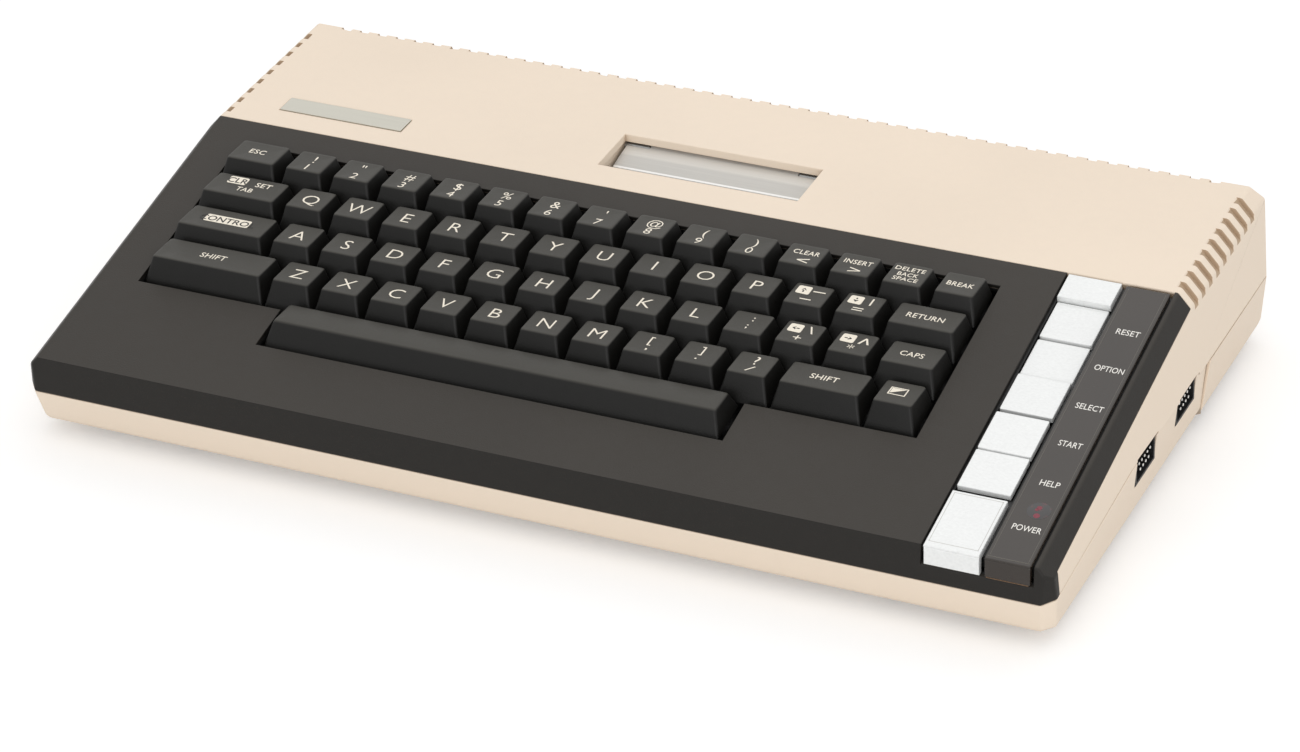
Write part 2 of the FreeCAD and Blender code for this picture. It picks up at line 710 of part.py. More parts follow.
def typing_keys():
    """All caps with their stems; returns the stem places for the frame and the springs."""
    stems = []
    banks = {}
    margin = "(key_pitch - cap_base) / 2"
    cap_middle = "cap_front_slope + cap_top_run / 2"
    for row, keys in ROWS:
        start = 0.0
        for number, (name, units) in enumerate(keys):
            left = "keys_left + %g * key_pitch" % start
            x = "%s + %s" % (left, margin)
            y = "keys_front + %d * key_pitch + %s" % (row, margin)
            wide = "(%g * key_pitch - key_pitch + cap_base)" % units
            stem = ("%s + %g * key_pitch" % (left, units / 2), "%s + %s" % (y, cap_middle))
            stems.append(stem)
            cap = key_cap("%s_%d" % (name, number), x, y, wide, "cap_base", CAP, [stem])
            banks.setdefault(name, []).append(cap)
            start += units
    bar_left = "keys_left + bar_start_units * key_pitch"
    bar_y = "bar_front + %s" % margin
    bar_stems = [("%s + bar_units * key_pitch / 2 + %d * guide_span" % (bar_left, side),
                  "%s + bar_front_slope + bar_top_run / 2" % bar_y)
                 for side in (-1, 0, 1)]
    stems.extend(bar_stems)
    bar = key_cap("space_bar_0", "%s + %s" % (bar_left, margin), bar_y,
                  "(bar_units * key_pitch - key_pitch + cap_base)", "cap_base", BAR, bar_stems)
    banks["space_bar"] = [bar]
    for name, caps in banks.items():
        node(name, caps, SLOPE)
    return stems


def keyboard_works(stems):
    """Frame with guide towers, springs, membrane, back plate and ribbon."""
    left = "keys_left - 0.2 - frame_overlap"
    wide = "%s + well_margin + 0.2 + 2 * frame_overlap" % KEYS_WIDE
    deep = "(frame_rear - frame_front)"
    rim_low = "0 - frame_top - frame_plate + 0.5 - key_travel - membrane_gap"
    rim_tall = "(frame_top + frame_plate - 0.5 + key_travel + membrane_gap - upper_wall)"
    plate = box("frame_plate_blank", left, "frame_front", "0 - frame_top - frame_plate", wide,
                deep, "frame_plate")
    block = box("frame_block", left, "frame_front", rim_low, wide, deep, rim_tall)
    room = box("frame_room", left + " + frame_rim", "frame_front + frame_rim", rim_low + " - 1",
               "%s - 2 * frame_rim" % wide, "%s - 2 * frame_rim" % deep, rim_tall + " + 2")
    rim = cut("frame_rim_ring", block, [room])
    towers = [rod("tower%d" % i, x, y, "0 - frame_top - frame_plate / 2", "tower_radius",
                  "frame_top + frame_plate / 2 - tower_top") for i, (x, y) in enumerate(stems)]
    holes = [rod("guide%d" % i, x, y, "0 - frame_top - 2 * frame_plate", "stem_radius + stem_gap",
                 "frame_top + 2 * frame_plate") for i, (x, y) in enumerate(stems)]
    frame = cut("frame_cut", fuse("frame_solid", [plate, rim] + towers), [group("guides", holes)])
    node("keyboard_frame", frame, SLOPE)

    coil_low = "0 - frame_top"
    coil_tall = "frame_top + spring_top"
    bore = "tower_radius + 0.1"
    coils = [rod("coil%d" % i, x, y, coil_low, bore + " + spring_wall", coil_tall)
             for i, (x, y) in enumerate(stems)]
    bores = [rod("coil_bore%d" % i, x, y, coil_low + " - 1", bore, coil_tall + " + 2")
             for i, (x, y) in enumerate(stems)]
    springs = cut("springs_cut", group("coils", coils), [group("coil_bores", bores)])
    node("key_springs", springs, SLOPE)

    sheet_low = "(%s - membrane_thickness)" % rim_low
    membrane = box("membrane_sheet", left, "frame_front", sheet_low, wide, deep + " + 0.6",
                   "membrane_thickness")
    node("keyboard_membrane", [membrane], SLOPE)
    steel = box("steel_sheet", left, "frame_front", sheet_low + " - backplate_thickness", wide,
                deep, "backplate_thickness")
    node("keyboard_backplate", [steel], SLOPE)
    drop = worth("frame_top + frame_plate - 0.5 + key_travel + membrane_gap + membrane_thickness")
    tail_y = size["frame_rear"] + 0.6
    end = SLOPE_IN_CASE.multVec(V(0, tail_y, -drop))
    tail_top = end.z + 0.3
    tail_low = size["board_bottom"] + size["board_thickness"]
    tail = doc.addObject("Part::Box", "tail_strip")
    tail.Length = 34
    tail.Width = 0.4
    tail.Height = tail_top - tail_low
    tail.Placement.Base = V(-102, end.y, tail_low)
    node("ribbon_cable", [tail])


def console_column():
    """The black tray, silver trims, smoked label panel, lamp and the five console keys."""
    floor_low = "0 - strip_depth"
    left = "strip_left + strip_gap"
    wide = "strip_width - 2 * strip_gap"
    length = "label_length - tray_front + 0.5"
    tray = box("tray_block", left, "tray_front", floor_low, wide, length,
               "strip_depth - silver_base")
    key_room_y = "help_place - console_key_length / 2 - key_play"
    key_room_long = "reset_place - help_place + console_key_length + 2 * key_play"
    room = box("key_room", "silver_left - key_play", key_room_y, floor_low + " + tray_floor",
               "silver_width + 2 * key_play", key_room_long, "2 * strip_depth")
    keys = ["help", "start", "select", "option", "reset"]
    middle = "silver_left + silver_width / 2"
    stem_holes = [rod(key + "_hole", middle, key + "_place", floor_low + " - 1",
                      "console_stem + stem_gap", "tray_floor + 2") for key in keys]
    lamp_hole = rod("lamp_hole", "label_left + label_width / 2 + 0.8", "lamp_place",
                    floor_low + " - 1", "lamp_radius + 0.1", "2 * strip_depth")
    node("console_key_tray", cut("tray_cut", tray, [room, lamp_hole] + stem_holes), SLOPE)
    lamp_body = rod("lamp_body", "label_left + label_width / 2 + 0.8", "lamp_place",
                    floor_low + " + 0.2", "lamp_radius", "strip_depth - silver_base - 0.5")
    node("power_lamp", [lamp_body], SLOPE)

    def wrapped(name, x, across, run, height):
        """A plate on the slope that turns down over the front face."""
        plate = box(name + "_plate", x, "0 - 1", "0 - silver_base", across, run + " + 1",
                    "silver_base + " + height)
        flap = box(name + "_flap", x, "0.1", "wrap_bottom", across,
                   "panel_inset + wrap_thickness - 0.6", "panel_front_height - wrap_bottom")
        made = fuse(name + "_bent", [tilted(name + "_on_slope", [plate], SLOPE_IN_CASE), flap])
        ahead = box(name + "_ahead", x + " - 1", "0 - %g" % REACH, "0", across + " + 2",
                    "%g + 0.1" % REACH, str(2 * REACH))
        return cut(name, made, [ahead])
    panel = wrapped("label_blank", "label_left", "label_width", "label_length", "label_height")
    node("label_panel", panel)
    front_trim = wrapped("front_trim", "silver_left", "silver_width", "front_trim_length",
                         "silver_height")
    rear_plate = box("rear_trim", "silver_left", "rear_trim_start", "0 - silver_base",
                     "silver_width", "rear_trim_length", "silver_base + silver_height")
    node("silver_trims", [front_trim, tilted("rear_trim_on_slope", [rear_plate], SLOPE_IN_CASE)])

    for key in keys:
        cap = box(key + "_cap", "silver_left", key + "_place - console_key_length / 2",
                  key + "_top - console_key_depth", "silver_width", "console_key_length",
                  "console_key_depth")
        stem = rod(key + "_stem", middle, key + "_place", floor_low + " - 1", "console_stem",
                   "strip_depth + 1 + %s_top - console_key_depth / 2" % key)
        node(key + "_key", fuse(key + "_solid", [cap, stem]), SLOPE)


def cartridge_bay():
    """Chute, connector, two doors on their pins and the springs beside them."""
    slot_left = size["slot_centre"] - size["slot_width"] / 2
    slot_right = size["slot_centre"] + size["slot_width"] / 2
    front_y = DECK_IN_CASE.multVec(V(0, size["slot_front"], 0)).y
    rear_y = DECK_IN_CASE.multVec(V(0, size["slot_front"] + size["slot_depth"], 0)).y
    wall = size["slot_wall"]
    end_room = size["slot_end_room"]
    swing = size["slot_swing_room"]
    board_top = size["board_bottom"] + size["board_thickness"]

    def block(name, x0, x1, y0, y1, z0, z1):
        made = doc.addObject("Part::Box", name)
        made.Length = x1 - x0
        made.Width = y1 - y0
        made.Height = z1 - z0
        made.Placement.Base = V(x0, y0, z0)
        return made

    inner_x = (slot_left - end_room, slot_right + end_room)
    inner_y = (front_y - swing, rear_y + swing)
    tower = block("chute_block", inner_x[0] - wall, inner_x[1] + wall, inner_y[0] - wall,
                  inner_y[1] + wall, board_top, deck_end_z + 5)
    bore = block("chute_bore", inner_x[0], inner_x[1], inner_y[0], inner_y[1], 0, deck_end_z + 9)
    under_deck = keep_side("under_deck", V(0, hip_y, hip_z), V(0, deck_end_y, deck_end_z),
                           V(1, hip_y, hip_z), MIDDLE, size["upper_wall"])
    chute = common("chute_trimmed", [cut("chute_walls", tower, [bore]), under_deck])

    def deck_height(y):
        return hip_z + (y - hip_y) * size["deck_rise"] / size["deck_run"]

    middle_y = (front_y + rear_y) / 2
    parting_y = front_y + size["door_parting"]
    doors = (("rear", rear_y + size["hinge_setback"], 1), ("front", front_y - size["hinge_setback"], -1))
    pins = []
    pin_holes = []
    springs = []
    door_left = slot_left + size["door_play"]
    door_long = size["slot_width"] - 2 * size["door_play"]
    pin_left = inner_x[0] - wall + 0.3
    pin_long = inner_x[1] - inner_x[0] + 2 * wall - 0.6
    for tag, axis_y, hand in doors:
        axis_z = deck_height(axis_y) - size["hinge_drop"]
        tip_y = parting_y + hand * size["door_gap"] / 2
        bend_y = tip_y + (axis_y - tip_y) * size["door_bend_share"]
        thick = size["door_thickness"]
        line = [(axis_y, size["door_edge_drop"]), (bend_y, size["door_bend_drop"]),
                (tip_y, size["door_tip_drop"])]
        over = [(y, deck_height(y) - drop) for y, drop in line]
        under = [(y, z - thick) for y, z in reversed(over)]
        outline = [("%.4f" % y, "%.4f" % z) for y, z in over + under]
        leaf = prism("door_leaf_" + tag, "YZ_Plane", outline, "%.4f" % door_long,
                     offset="%.4f" % door_left)

        def along(name, radius, x0=door_left, long=door_long):
            made = doc.addObject("Part::Cylinder", name)
            made.Radius = radius
            made.Height = long
            made.Placement = FreeCAD.Placement(V(x0, axis_y, axis_z),
                                               FreeCAD.Rotation(*TURNS["x"]))
            return made
        coil = size["door_spring_length"]
        knuckle = along("knuckle_" + tag, size["knuckle_radius"], door_left + coil,
                        door_long - 2 * coil)
        bore_rod = along("knuckle_bore_" + tag, size["hinge_pin_radius"] + size["hinge_gap"],
                         door_left - 1, door_long + 2)
        cutters = [bore_rod]
        for end, x0 in (("l", inner_x[0]), ("r", door_left + door_long - coil)):
            span = door_left + coil - inner_x[0]
            cutters.append(block("spring_room_%s_%s" % (tag, end), x0, x0 + span,
                                 axis_y - 2.1, axis_y + 2.1, axis_z - 3, axis_z + 3))
            tube = along("spring_%s_%s" % (tag, end), size["door_spring_outer"],
                         x0 + (0 if end == "l" else 0.3), span - 0.3)
            core = along("spring_core_%s_%s" % (tag, end), size["door_spring_inner"], x0 - 1,
                         span + 2)
            springs.append(cut("spring_coil_%s_%s" % (tag, end), tube, [core]))
        node("cartridge_door_" + tag, cut("door_cut_" + tag, fuse("door_fused_" + tag,
             [leaf, knuckle]), cutters))
        pins.append(along("pin_" + tag, size["hinge_pin_radius"], pin_left, pin_long))
        pin_holes.append(along("pin_hole_" + tag, size["hinge_pin_radius"] + 0.02,
                               pin_left - 0.02, pin_long + 0.04))
        print("hinge %s: y %.3f z %.3f in the case frame" % (tag, axis_y, axis_z))
    node("cartridge_chute", cut("chute_cut", chute, pin_holes))
    node("door_hinge_pins", pins)
    centre = size["slot_centre"]
    body = block("edge_body", centre - 32, centre + 32, middle_y - 5, middle_y + 5, board_top, 21)
    mouth = block("edge_mouth", centre - 27, centre + 27, middle_y - 1, middle_y + 1, 12, 22)
    node("cartridge_connector", cut("edge_cut", body, [mouth]))
    node("door_springs", springs)


def boards():
    """Main board with its chips, the shield and the modulator."""
    board_long = "board_rear - board_front"
    blank = box("board_blank", "board_left", "board_front", "board_bottom",
                "board_right - board_left", board_long, "board_thickness")
    holes = [rod("board_hole_" + tag, x, y, "0", "boss_radius + 0.5", "2 * boss_top")
             for tag, x, y, zone in SCREWS if zone == "rear"]
    node("main_board", cut("board_cut", blank, holes))
    top = "board_bottom + board_thickness"
    chips = []
    spots = [(-140, 48, 52), (-78, 48, 52), (-16, 48, 52), (46, 48, 36), (92, 48, 26),
             (-140, 78, 26), (-104, 78, 26), (-68, 78, 26), (-32, 78, 26), (4, 78, 26),
             (40, 78, 26), (76, 78, 26), (112, 78, 26), (-120, 112, 36), (-60, 112, 36),
             (70, 112, 20), (100, 112, 20)]
    for i, (x, y, long) in enumerate(spots):
        chips.append(box("chip%d" % i, str(x), str(y), top, str(long),
                         "14" if long > 40 else "8", "3.8"))
    node("board_chips", chips)
    lid = box("shield_lid", "0 - 155", "board_front + 8", "board_bottom + 7", "300", "100", "0.6")
    legs = [box("shield_leg%d" % i, x, y, top, "4", "0.6", "5.9")
            for i, (x, y) in enumerate([("0 - 150", "board_front + 8"), ("140", "board_front + 8"),
                                        ("0 - 150", "board_front + 107.4"),
                                        ("140", "board_front + 107.4")])]
    node("board_shield", fuse("shield_solid", [lid] + legs))
    can = box("modulator_can", "modulator_place - 27", "183", top, "54",
              "case_depth - body_setback - base_inset_rear * 0.2 - 183 - 4", "18")
    node("modulator", [can])
    can_end = "(case_depth - body_setback - base_inset_rear * 0.2 - 4)"
    jack = rod("tv_barrel", "modulator_place + tv_jack_offset", can_end, "socket_height", "4.1",
               "case_depth - 0.5 - %s" % can_end, "y")
    jack_hole = rod("tv_hole", "modulator_place + tv_jack_offset", can_end + " + 2",
                    "socket_height", "1.6", "20", "y")
    node("tv_jack", cut("tv_jack_cut", jack, [jack_hole]))


def side_ports():
    """Two 9-pin joystick ports behind their windows in the right-hand wall."""
    bodies = []
    pins = []
    face = "(case_width / 2 - bay_depth - port_recess - 0.5)"
    low = "board_bottom + board_thickness"
    for i in range(2):
        y = "port_first + %d * port_pitch" % i
        block = box("port_block%d" % i, face + " - 12", "%s - port_body / 2" % y, low, "8.5",
                    "port_body", "socket_height + 6.4 - board_bottom - board_thickness")
        nose = box("port_nose%d" % i, face + " - 4", "%s - port_opening / 2 + opening_gap" % y,
                   "socket_height - port_rise / 2 + 0.15 + opening_gap", "4",
                   "port_opening - 2 * opening_gap", "port_rise - 2 * opening_gap")
        hollow = box("port_hollow%d" % i, face + " - port_cavity", y + " - 8.5",
                     "socket_height - 4.1", "port_cavity + 1", "17", "8.4")
        bodies.append(cut("port%d" % i, fuse("port_solid%d" % i, [block, nose]), [hollow]))
        for row, count in ((1, 5), (-1, 4)):
            for j in range(count):
                offset = 2.77 * (j - (count - 1) / 2)
                pins.append(rod("port_pin%d_%d_%d" % (i, row + 1, j), face + " - port_cavity",
                                "%s + %.3f" % (y, offset),
                                "socket_height + %.2f" % (row * 1.42 + 0.1), "port_pin",
                                "port_cavity - 1.2", "x"))
    node("joystick_ports", bodies)
    node("joystick_port_pins", pins)


def rear_sockets():
    """Round sockets, the peripheral port, both switches and the bus cover on the rear wall."""
    low = "board_bottom + board_thickness"
    face = "(%s - rear_recess)" % REAR_FACE
    block_y = "(case_depth - body_setback - base_inset_rear * 0.2 - socket_block_depth)"
    for name, x in (("power_socket", "power_in_place"), ("monitor_socket", "monitor_place")):
        block = box(name + "_block", x + " - 9.5", block_y, low, "19", "socket_block_depth - 0.5",
                    "socket_height + 9.4 - board_bottom - board_thickness")
        barrel = rod(name + "_barrel", x, block_y + " + 2", "socket_height", "barrel_radius",
                     "%s - %s - 2" % (face, block_y), "y")
        hollow = rod(name + "_hollow", x, "%s - plug_recess" % face, "socket_height",
                     "plug_radius", "20", "y")
        studs = [rod("%s_stud%d" % (name, i),
                     "%s + contact_circle * %.4f" % (x, math.cos(math.radians(angle))),
                     "%s - plug_recess" % face,
                     "socket_height + contact_circle * %.4f" % math.sin(math.radians(angle)),
                     "contact_radius", "contact_proud", "y")
                 for i, angle in enumerate((180, 225, 270, 315, 360))]
        shell = cut(name + "_cut", fuse(name + "_solid", [block, barrel]), [hollow])
        node(name, [shell] + studs)
    x = "peripheral_place"
    block = box("peripheral_block", x + " - 22", block_y, low, "44", "socket_block_depth - 0.5",
                "socket_height + 8 - board_bottom - board_thickness")
    nose = box("peripheral_nose", x + " - 18", block_y + " + 2", "socket_height - 5.5", "36",
               "%s - %s - 2" % (face, block_y), "11")
    hollow = box("peripheral_hollow", x + " - 16", face + " - 9", "socket_height - 4", "32", "20",
                 "8")
    contacts = []
    for row, count in ((1, 7), (-1, 6)):
        for j in range(count):
            offset = 4.0 * (j - (count - 1) / 2)
            contacts.append(rod("peripheral_contact%d_%d" % (row + 1, j),
                                "%s + %.3f" % (x, offset), face + " - 9.5",
                                "socket_height + %.2f" % (row * 1.9), "0.9", "7", "y"))
    node("peripheral_port", fuse("peripheral_solid", [cut("peripheral_cut", fuse(
        "peripheral_body", [block, nose]), [hollow])] + contacts))

    x = "rocker_place"
    block = box("switch_block", x + " - 12.2", block_y, "socket_height - 8.6", "24.4",
                "socket_block_depth - 0.5", "17.2")
    nose = box("switch_nose", x + " - 11.2", block_y + " + 2", "socket_height - 7.2", "22.4",
               "%s - %s - 2" % (face, block_y), "14.4")
    room = box("rocker_room", x + " - 9.8", "case_depth - 12.6", "socket_height - 5.7", "19.6",
               "20", "11.4")
    axle = rod("axle_hole", x, "case_depth - 7.5", "socket_height - 6.9", "1.5 + hinge_gap",
               "13.8")
    leg = box("switch_leg", x + " - 6", block_y + " + 4", low, "12", "6",
              "socket_height - 8 - board_bottom - board_thickness")
    node("power_switch_body", cut("switch_cut", fuse("switch_solid", [block, nose, leg]),
                                  [room, axle]))
    outline = [("0 - 8.4", "0 - 3"), ("8.4", "0 - 3"), ("8.4", "5"), ("0", "3.4"),
               ("0 - 8.4", "5")]
    blade = prism("rocker_blade", "XY_Plane", outline, "10.6", midplane=True)
    pivot = doc.addObject("Part::Cylinder", "rocker_axle")
    pivot.Radius = 1.5
    pivot.Height = 13.4
    pivot.Placement.Base = V(0, 0, -6.7)
    rocker = fuse("rocker_solid", [blade, pivot])
    rocker.Placement = FreeCAD.Placement(
        V(size["rocker_place"], size["case_depth"] - 7.5, size["socket_height"]),
        FreeCAD.Rotation(V(0, 0, 1), 8))
    node("power_rocker", [rocker])

    x = "(modulator_place + channel_offset)"
    body = box("channel_body", x + " - 8", "case_depth - 10", "socket_height - 5", "16",
               "10 - body_setback - 1.3", "10")
    rail = box("channel_rail", x + " - 4.3", "case_depth - 8.5", "socket_height - 1.5", "8.6",
               "9", "3")
    node("channel_switch_body", cut("channel_cut", body, [rail]))
    knob = box("channel_knob_blank", x + " - 4", "case_depth - 8.2", "socket_height - 1.2", "4.2",
               "7.1", "2.4")
    node("channel_switch_knob", [knob])
    cover = box("bus_plate", "bus_left + 0.2", "case_depth - 7.5", "bus_bottom + 0.2",
                "bus_width - 0.4", "4.2", "bus_height - 0.4")
    lip = box("bus_lip", "bus_left - 2", "case_depth - 9", "bus_bottom - 1", "bus_width + 4",
              "2", "bus_height + 2.5")
    node("bus_cover", fuse("bus_solid", [cover, lip]))


casing()
small_fittings()
stem_places = typing_keys()
keyboard_works(stem_places)
console_column()
cartridge_bay()
boards()
side_ports()
rear_sockets()
doc.recompute()

failed = [thing.Name for thing in doc.Objects
          if "Invalid" in thing.State or "Error" in thing.State]
if failed:
    raise RuntimeError("these objects did not build: " + ", ".join(failed))
for made in NODES:
    shape = made.Shape
    if shape.isNull() or not shape.isValid():
        raise RuntimeError(made.Label + " has no valid shape")
os.makedirs("parts", exist_ok=True)
for made in NODES:
    made.Shape.exportStep("parts/%s.step" % made.Label)
    bb = made.Shape.BoundBox
    print("%-24s solids %3d volume %9.1f  x %7.1f %7.1f  y %7.1f %7.1f  z %6.1f %6.1f" % (
        made.Label, len(made.Shape.Solids), made.Shape.Volume, bb.XMin, bb.XMax, bb.YMin, bb.YMax,
        bb.ZMin, bb.ZMax))
print(len(NODES), "nodes")
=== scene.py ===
"""Looks of a wedge-shaped home computer: casing, keys with legends, console column, slot, sockets.

Sizes are in millimetres and become metres of the shared frame. They lie either on the case
(x to the right, y back from the front face, z up from the underside) or on the sloping key
panel (x to the right, v up the slope, n off the panel).
"""

import math

import bmesh
import bpy
import numpy as np
from mathutils import Matrix


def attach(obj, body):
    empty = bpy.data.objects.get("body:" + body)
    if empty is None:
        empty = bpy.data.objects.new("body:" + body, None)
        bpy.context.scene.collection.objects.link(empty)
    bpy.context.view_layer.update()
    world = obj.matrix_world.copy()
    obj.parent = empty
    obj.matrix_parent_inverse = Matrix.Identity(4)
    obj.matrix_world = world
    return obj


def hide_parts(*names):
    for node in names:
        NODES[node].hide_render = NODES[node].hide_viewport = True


bl_info = {
    "name": "Home computer",
    "version": (1, 0, 0),
    "blender": (4, 5, 0),
    "location": "3D View > Sidebar > Computer",
    "description": "Dresses a home computer with its keys, legends, doors, sockets and finishes",
    "category": "Object",
}

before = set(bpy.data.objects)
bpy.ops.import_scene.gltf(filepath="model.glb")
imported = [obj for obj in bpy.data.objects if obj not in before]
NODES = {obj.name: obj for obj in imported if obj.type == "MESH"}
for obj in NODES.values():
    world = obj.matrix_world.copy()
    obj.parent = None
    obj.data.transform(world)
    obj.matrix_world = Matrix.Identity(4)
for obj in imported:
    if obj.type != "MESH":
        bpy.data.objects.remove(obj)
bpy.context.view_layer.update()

# The casing, and the front edges of its panel and deck as y and z
HALF_DEPTH = 111.0
FOOT_HEIGHT = 5.0
CASE_HALF_WIDTH = 190.5
CASE_DEPTH = 222.0
PANEL_Y, PANEL_Z = 1.2, 27.2
DECK_Y, DECK_Z = 137.2, 54.75
DECK_END_Y, DECK_END_Z = 214.6, 56.45
PANEL_TILT = math.atan2(DECK_Z - PANEL_Z, DECK_Y - PANEL_Y)
DECK_TILT = math.atan2(DECK_END_Z - DECK_Z, DECK_END_Y - DECK_Y)

# The chamfers beside and behind the deck, as their run and drop, and the grooves in them
SIDE_CHAMFER_X = 183.2
SIDE_CHAMFER = (5.2, 4.6)
REAR_CHAMFER = (8.4, 4.9)
GROOVE_DEPTH = 1.5

# The typing keys
PITCH = 19.05
KEY_GAP = 1.05
KEYS_LEFT = -167.7
KEYS_FRONT = 48.2
CAP_FOOT = -2.5
CAP_DEPTH = 18.0
CAP_WALL = 1.2

# Printed marks, a little over the face under them
MARK_HALF_THICKNESS = 0.03
MARK_LIFT = 0.01
WHITE = (1.0, 1.0, 1.0, 1.0)


def linear(*screen):
    """Screen colour, 0 to 255, as the linear colour that a finish takes."""
    share = np.array(screen, float) / 255.0
    low = share / 12.92
    high = ((share + 0.055) / 1.055) ** 2.4
    return tuple(np.where(share <= 0.04045, low, high).tolist())


def shaded(colour, share):
    """The colour made lighter or darker as a whole, with a full alpha."""
    return tuple(min(1.0, c * share) for c in colour[:3]) + (1.0,)


# Places


def on_case(points):
    """Metres of the frame for millimetres on the case: the frame's zero is on the table,
    in the middle of the depth."""
    return (np.asarray(points, float) + (0.0, -HALF_DEPTH, FOOT_HEIGHT)) / 1000.0


def from_frame(spots):
    """Millimetres on the case for metres of the frame, one row for each of x, y and z."""
    return (spots * 1000.0 + (0.0, HALF_DEPTH, -FOOT_HEIGHT)).T


def on_panel(points):
    """Metres of the frame for millimetres on the key panel, which is tilted about x.

    y = front y + v cos(tilt) - n sin(tilt), z = front z + v sin(tilt) + n cos(tilt)."""
    x, v, n = np.moveaxis(np.asarray(points, float), -1, 0)
    y = PANEL_Y + v * math.cos(PANEL_TILT) - n * math.sin(PANEL_TILT)
    z = PANEL_Z + v * math.sin(PANEL_TILT) + n * math.cos(PANEL_TILT)
    return on_case(np.stack([x, y, z], -1))


def panel_height(y):
    """Height of the panel's plane over the underside, y back from the front face."""
    return PANEL_Z + (y - PANEL_Y) * math.tan(PANEL_TILT)


def deck_height(y):
    """Height of the rear deck's plane over the underside, y back from the front face."""
    return DECK_Z + (y - DECK_Y) * math.tan(DECK_TILT)


# Finishes


class Wire:
    """A value inside a node tree; arithmetic on it adds Math nodes."""

    def __init__(self, nodes, socket):
        self.nodes = nodes
        self.socket = socket

    def _math(self, operation, *values):
        return self.nodes.node("ShaderNodeMath", {"operation": operation}, values)

    def __add__(self, other):
        return self._math("ADD", self, other)

    __radd__ = __add__

    def __sub__(self, other):
        return self._math("SUBTRACT", self, other)

    def __rsub__(self, other):
        return self._math("SUBTRACT", other, self)

    def __mul__(self, other):
        return self._math("MULTIPLY", self, other)

    __rmul__ = __mul__

    def or_more(self, other):
        """The larger of the two values."""
        return self._math("MAXIMUM", self, other)

    def over(self, low, high):
        """0 below low, 1 above high, straight in between."""
        return self.nodes.node("ShaderNodeMapRange", {"clamp": True}, (self, low, high, 0.0, 1.0))


class Nodes:
    """The emptied node tree of a material or a world, filled by one method."""

    def __init__(self, owner):
        owner.use_nodes = True
        self.tree = owner.node_tree
        self.tree.nodes.clear()

    def node(self, kind, settings=None, inputs=(), output=0):
        """Adds a node, sets it, fills its sockets with numbers, colours or wires, and gives the
        wire of one output, or the node itself where it has none."""
        made = self.tree.nodes.new(kind)
        for key, value in (settings or {}).items():
            setattr(made, key, value)
        pairs = inputs.items() if isinstance(inputs, dict) else enumerate(inputs)
        for key, value in pairs:
            self.feed(made.inputs[key], value)
        return Wire(self, made.outputs[output]) if made.outputs else made

    def feed(self, socket, value):
        if isinstance(value, Wire):
            self.tree.links.new(value.socket, socket)
        else:
            socket.default_value = value


class Finish(Nodes):
    """A procedural material around one Principled shader, patterned in object coordinates."""

    def __init__(self, name):
        self.material = bpy.data.materials.new(name)
        super().__init__(self.material)
        self.shader = self.node("ShaderNodeBsdfPrincipled")
        self.output = self.node("ShaderNodeOutputMaterial", {}, (self.shader,))
        self.place = self.node("ShaderNodeTexCoord", output="Object")

    def noise(self, scale, detail=2.0, stretch=None):
        """Noise with about scale lumps a metre, stretched along an axis where asked."""
        place = self.place
        if stretch:
            place = self.node("ShaderNodeMapping", {}, {"Vector": place, "Scale": stretch})
        return self.node("ShaderNodeTexNoise", {}, {"Vector": place, "Scale": scale,
                                                    "Detail": detail})

    def blend(self, share, first, second):
        """first where share is 0, second where it is 1."""
        return self.node("ShaderNodeMix", {"data_type": "RGBA"},
                         {0: share, 6: first, 7: second}, output=2)

    def relief(self, height, depth):
        """Bump of a given depth in metres."""
        return self.node("ShaderNodeBump", {}, {"Strength": 1.0, "Distance": depth,
                                                "Height": height})

    def set(self, **values):
        """Feeds the shader's sockets, named with _ for each space."""
        sockets = self.shader.socket.node.inputs
        for name, value in values.items():
            self.feed(sockets[name.replace("_", " ")], value)


BRUSHED_DEPTH = 0.000006


def moulded(name, colour, rough, grain, depth, cloud, sheen=0.5, walls=None, crease_shade=None):
    """Moulded plastic: a spark-eroded grain, faint clouds of tone and slow changes of gloss.

    With walls given, steep faces take that share of the tone, as painted shade that leaves the tops
    at the lit tone; with a crease colour given, narrow grooves and crevices go towards that colour by
    ambient occlusion, as painted shade."""
    made = Finish(name)
    cloudy = made.noise(14.0, detail=3.0)
    patch = made.noise(230.0, detail=4.0)
    fine = made.noise(grain, detail=2.0)
    tone = (cloudy * 0.6 + patch * 0.25 + fine * 0.15).over(0.36, 0.64)
    mixed = made.blend(tone, shaded(colour, 1 - cloud), shaded(colour, 1 + cloud))
    if walls:
        # Painted shade: faces that do not face up are darker than the tops.
        facing = made.node("ShaderNodeTexCoord", output="Normal")
        top_lit = made.node("ShaderNodeSeparateXYZ", {}, (facing,), output="Z").over(0.55, 0.95)
        mixed = made.blend(top_lit, shaded(colour, walls), mixed)
    if crease_shade:
        # Painted shade in narrow grooves and crevices, from ambient occlusion.
        open_share = made.node("ShaderNodeAmbientOcclusion", {"samples": 6},
                               {"Distance": 0.003}, output="AO")
        mixed = made.blend(open_share.over(0.25, 0.85), tuple(crease_shade) + (1.0,), mixed)
    made.set(Base_Color=mixed, Roughness=patch * 0.16 + (rough - 0.08),
             Normal=made.relief(fine, depth))
    made.set(Specular_IOR_Level=sheen)
    return made


def brushed(name, colour, rough, metallic, stretch, depth=BRUSHED_DEPTH):
    """Metal or metallic coating with fine lines along one axis."""
    made = Finish(name)
    lines = made.noise(1.0, detail=3.0, stretch=stretch)
    cloudy = made.noise(40.0, detail=2.0)
    tone = (lines * 0.8 + cloudy * 0.2).over(0.3, 0.7)
    mixed = made.blend(tone, shaded(colour, 0.94), shaded(colour, 1.04))
    made.set(Base_Color=mixed, Roughness=lines * 0.2 + (rough - 0.1),
             Normal=made.relief(lines, depth))
    made.set(Metallic=metallic)
    return made


